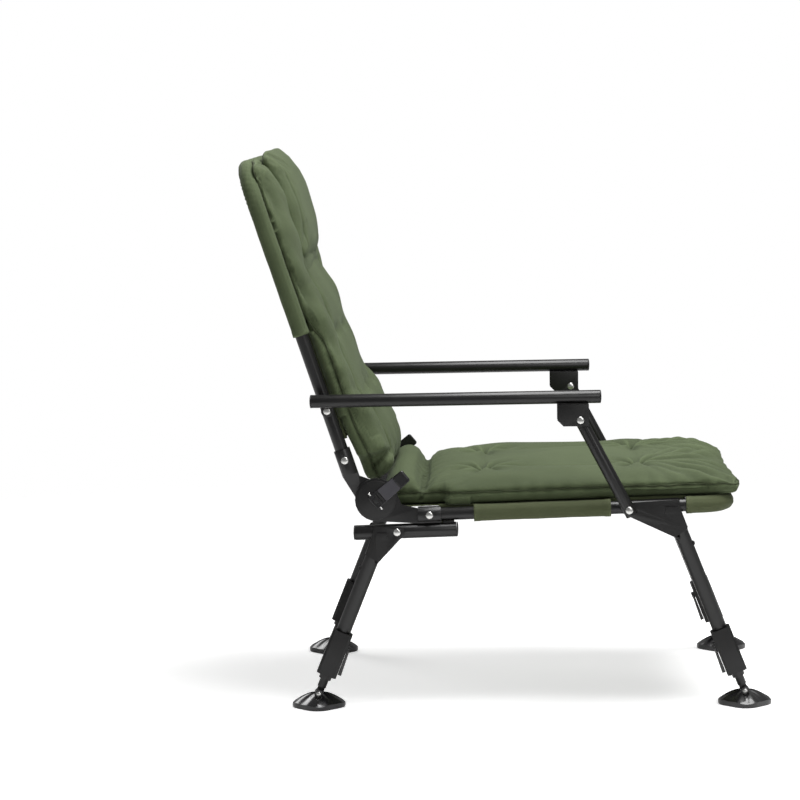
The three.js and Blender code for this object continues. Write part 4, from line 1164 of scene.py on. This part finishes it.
# Studio: a round white floor that keeps the chair's soft shadow and fades into a white
# surround, and three large soft lamps. None of it belongs to the chair.
def add_floor():
    around, reach = 96, 3.0
    fade_from, fade_over = 1.1, 1.6
    camera_glow = 0.50
    turns = [2 * math.pi * step / around for step in range(around)]
    mesh = bpy.data.meshes.new("studio_floor")
    edge = [(reach * math.cos(t), reach * math.sin(t), 0) for t in turns]
    mesh.from_pydata(edge, [], [tuple(range(around))])
    floor = into_scene("studio_floor", mesh)
    floor.location.z = -0.0003
    material, tree, shader = new_material("studio_white")
    set_inputs(shader, {"Base Color": (0.93, 0.93, 0.93, 1), "Roughness": 0.6, "Specular IOR Level": 0.1})
    glow = tree.nodes.new("ShaderNodeEmission")
    path = tree.nodes.new("ShaderNodeLightPath")
    glowing = maths(tree, "MULTIPLY", path.outputs["Is Camera Ray"], camera_glow)
    both = tree.nodes.new("ShaderNodeAddShader")
    place_on_floor = tree.nodes.new("ShaderNodeTexCoord")
    distance = tree.nodes.new("ShaderNodeVectorMath")
    distance.operation = "LENGTH"
    share = maths(tree, "DIVIDE", maths(tree, "SUBTRACT", distance.outputs["Value"], fade_from), fade_over)
    away = maths(tree, "MINIMUM", maths(tree, "MAXIMUM", share, 0.0), 1.0)
    nothing = tree.nodes.new("ShaderNodeBsdfTransparent")
    faded = tree.nodes.new("ShaderNodeMixShader")
    link(
        tree, (glowing, glow.inputs["Strength"]), (shader.outputs[0], both.inputs[0]),
        (glow.outputs[0], both.inputs[1]), (place_on_floor.outputs["Object"], distance.inputs[0]),
        (away, faded.inputs[0]), (both.outputs[0], faded.inputs[1]), (nothing.outputs[0], faded.inputs[2]),
        (faded.outputs[0], tree.nodes["Material Output"].inputs["Surface"]),
    )
    mesh.materials.append(material)


add_floor()
world = bpy.data.worlds.new("studio_world")
bpy.context.scene.world = world
world.use_nodes = True
world_tree = world.node_tree
background = world_tree.nodes["Background"]
background.inputs["Color"].default_value = (1, 1, 1, 1)
rays = world_tree.nodes.new("ShaderNodeLightPath")
seen_white = maths(world_tree, "MAXIMUM", rays.outputs["Is Camera Ray"], rays.outputs["Is Transmission Ray"])
room_light = 0.22
strength = maths(world_tree, "ADD", maths(world_tree, "MULTIPLY", seen_white, 0.78), room_light)
link(world_tree, (strength, background.inputs["Strength"]))


def soft_lamp(name, where, target, size, watts):
    data = bpy.data.lights.new(name, "AREA")
    data.shape = "RECTANGLE"
    data.size, data.size_y = size
    data.energy = watts
    lamp = into_scene(name, data)
    lamp.location = where
    lamp.rotation_mode = "QUATERNION"
    lamp.rotation_quaternion = (Vector(target) - Vector(where)).to_track_quat("-Z", "Y")


soft_lamp("overhead", (0.5, -0.2, 3.0), (0.0, 0.0, 0.4), (2.2, 1.6), 102)
soft_lamp("front", (1.9, -3.2, 1.9), (0.0, 0.0, 0.45), (1.6, 1.6), 22)
soft_lamp("behind", (-1.8, 2.2, 2.0), (0.0, 0.0, 0.5), (1.4, 1.4), 24)

# Camera: a long lens at the photograph's place, level with the chair's head and a little in
# front of its middle.
cam = bpy.data.cameras.new("camera")
cam.lens = 134.65
cam.sensor_width = 36.0
cam.clip_end = 100.0
camera = into_scene("camera", cam)
yaw, pitch, roll = 0.02918, 0.10399, -0.01307
forward = Vector((-math.sin(yaw) * math.cos(pitch), math.cos(yaw) * math.cos(pitch), -math.sin(pitch)))
level = Vector((math.cos(yaw), math.sin(yaw), 0))
upward = level.cross(forward)
right = math.cos(roll) * level + math.sin(roll) * upward
top = math.cos(roll) * upward - math.sin(roll) * level
turn = Matrix((right, top, -forward)).transposed().to_4x4()
camera.matrix_world = Matrix.Translation((hinge_x + 0.18552, -5.19574, 1.03255)) @ turn
bpy.context.scene.camera = camera
bpy.context.scene.view_settings.view_transform = "Standard"
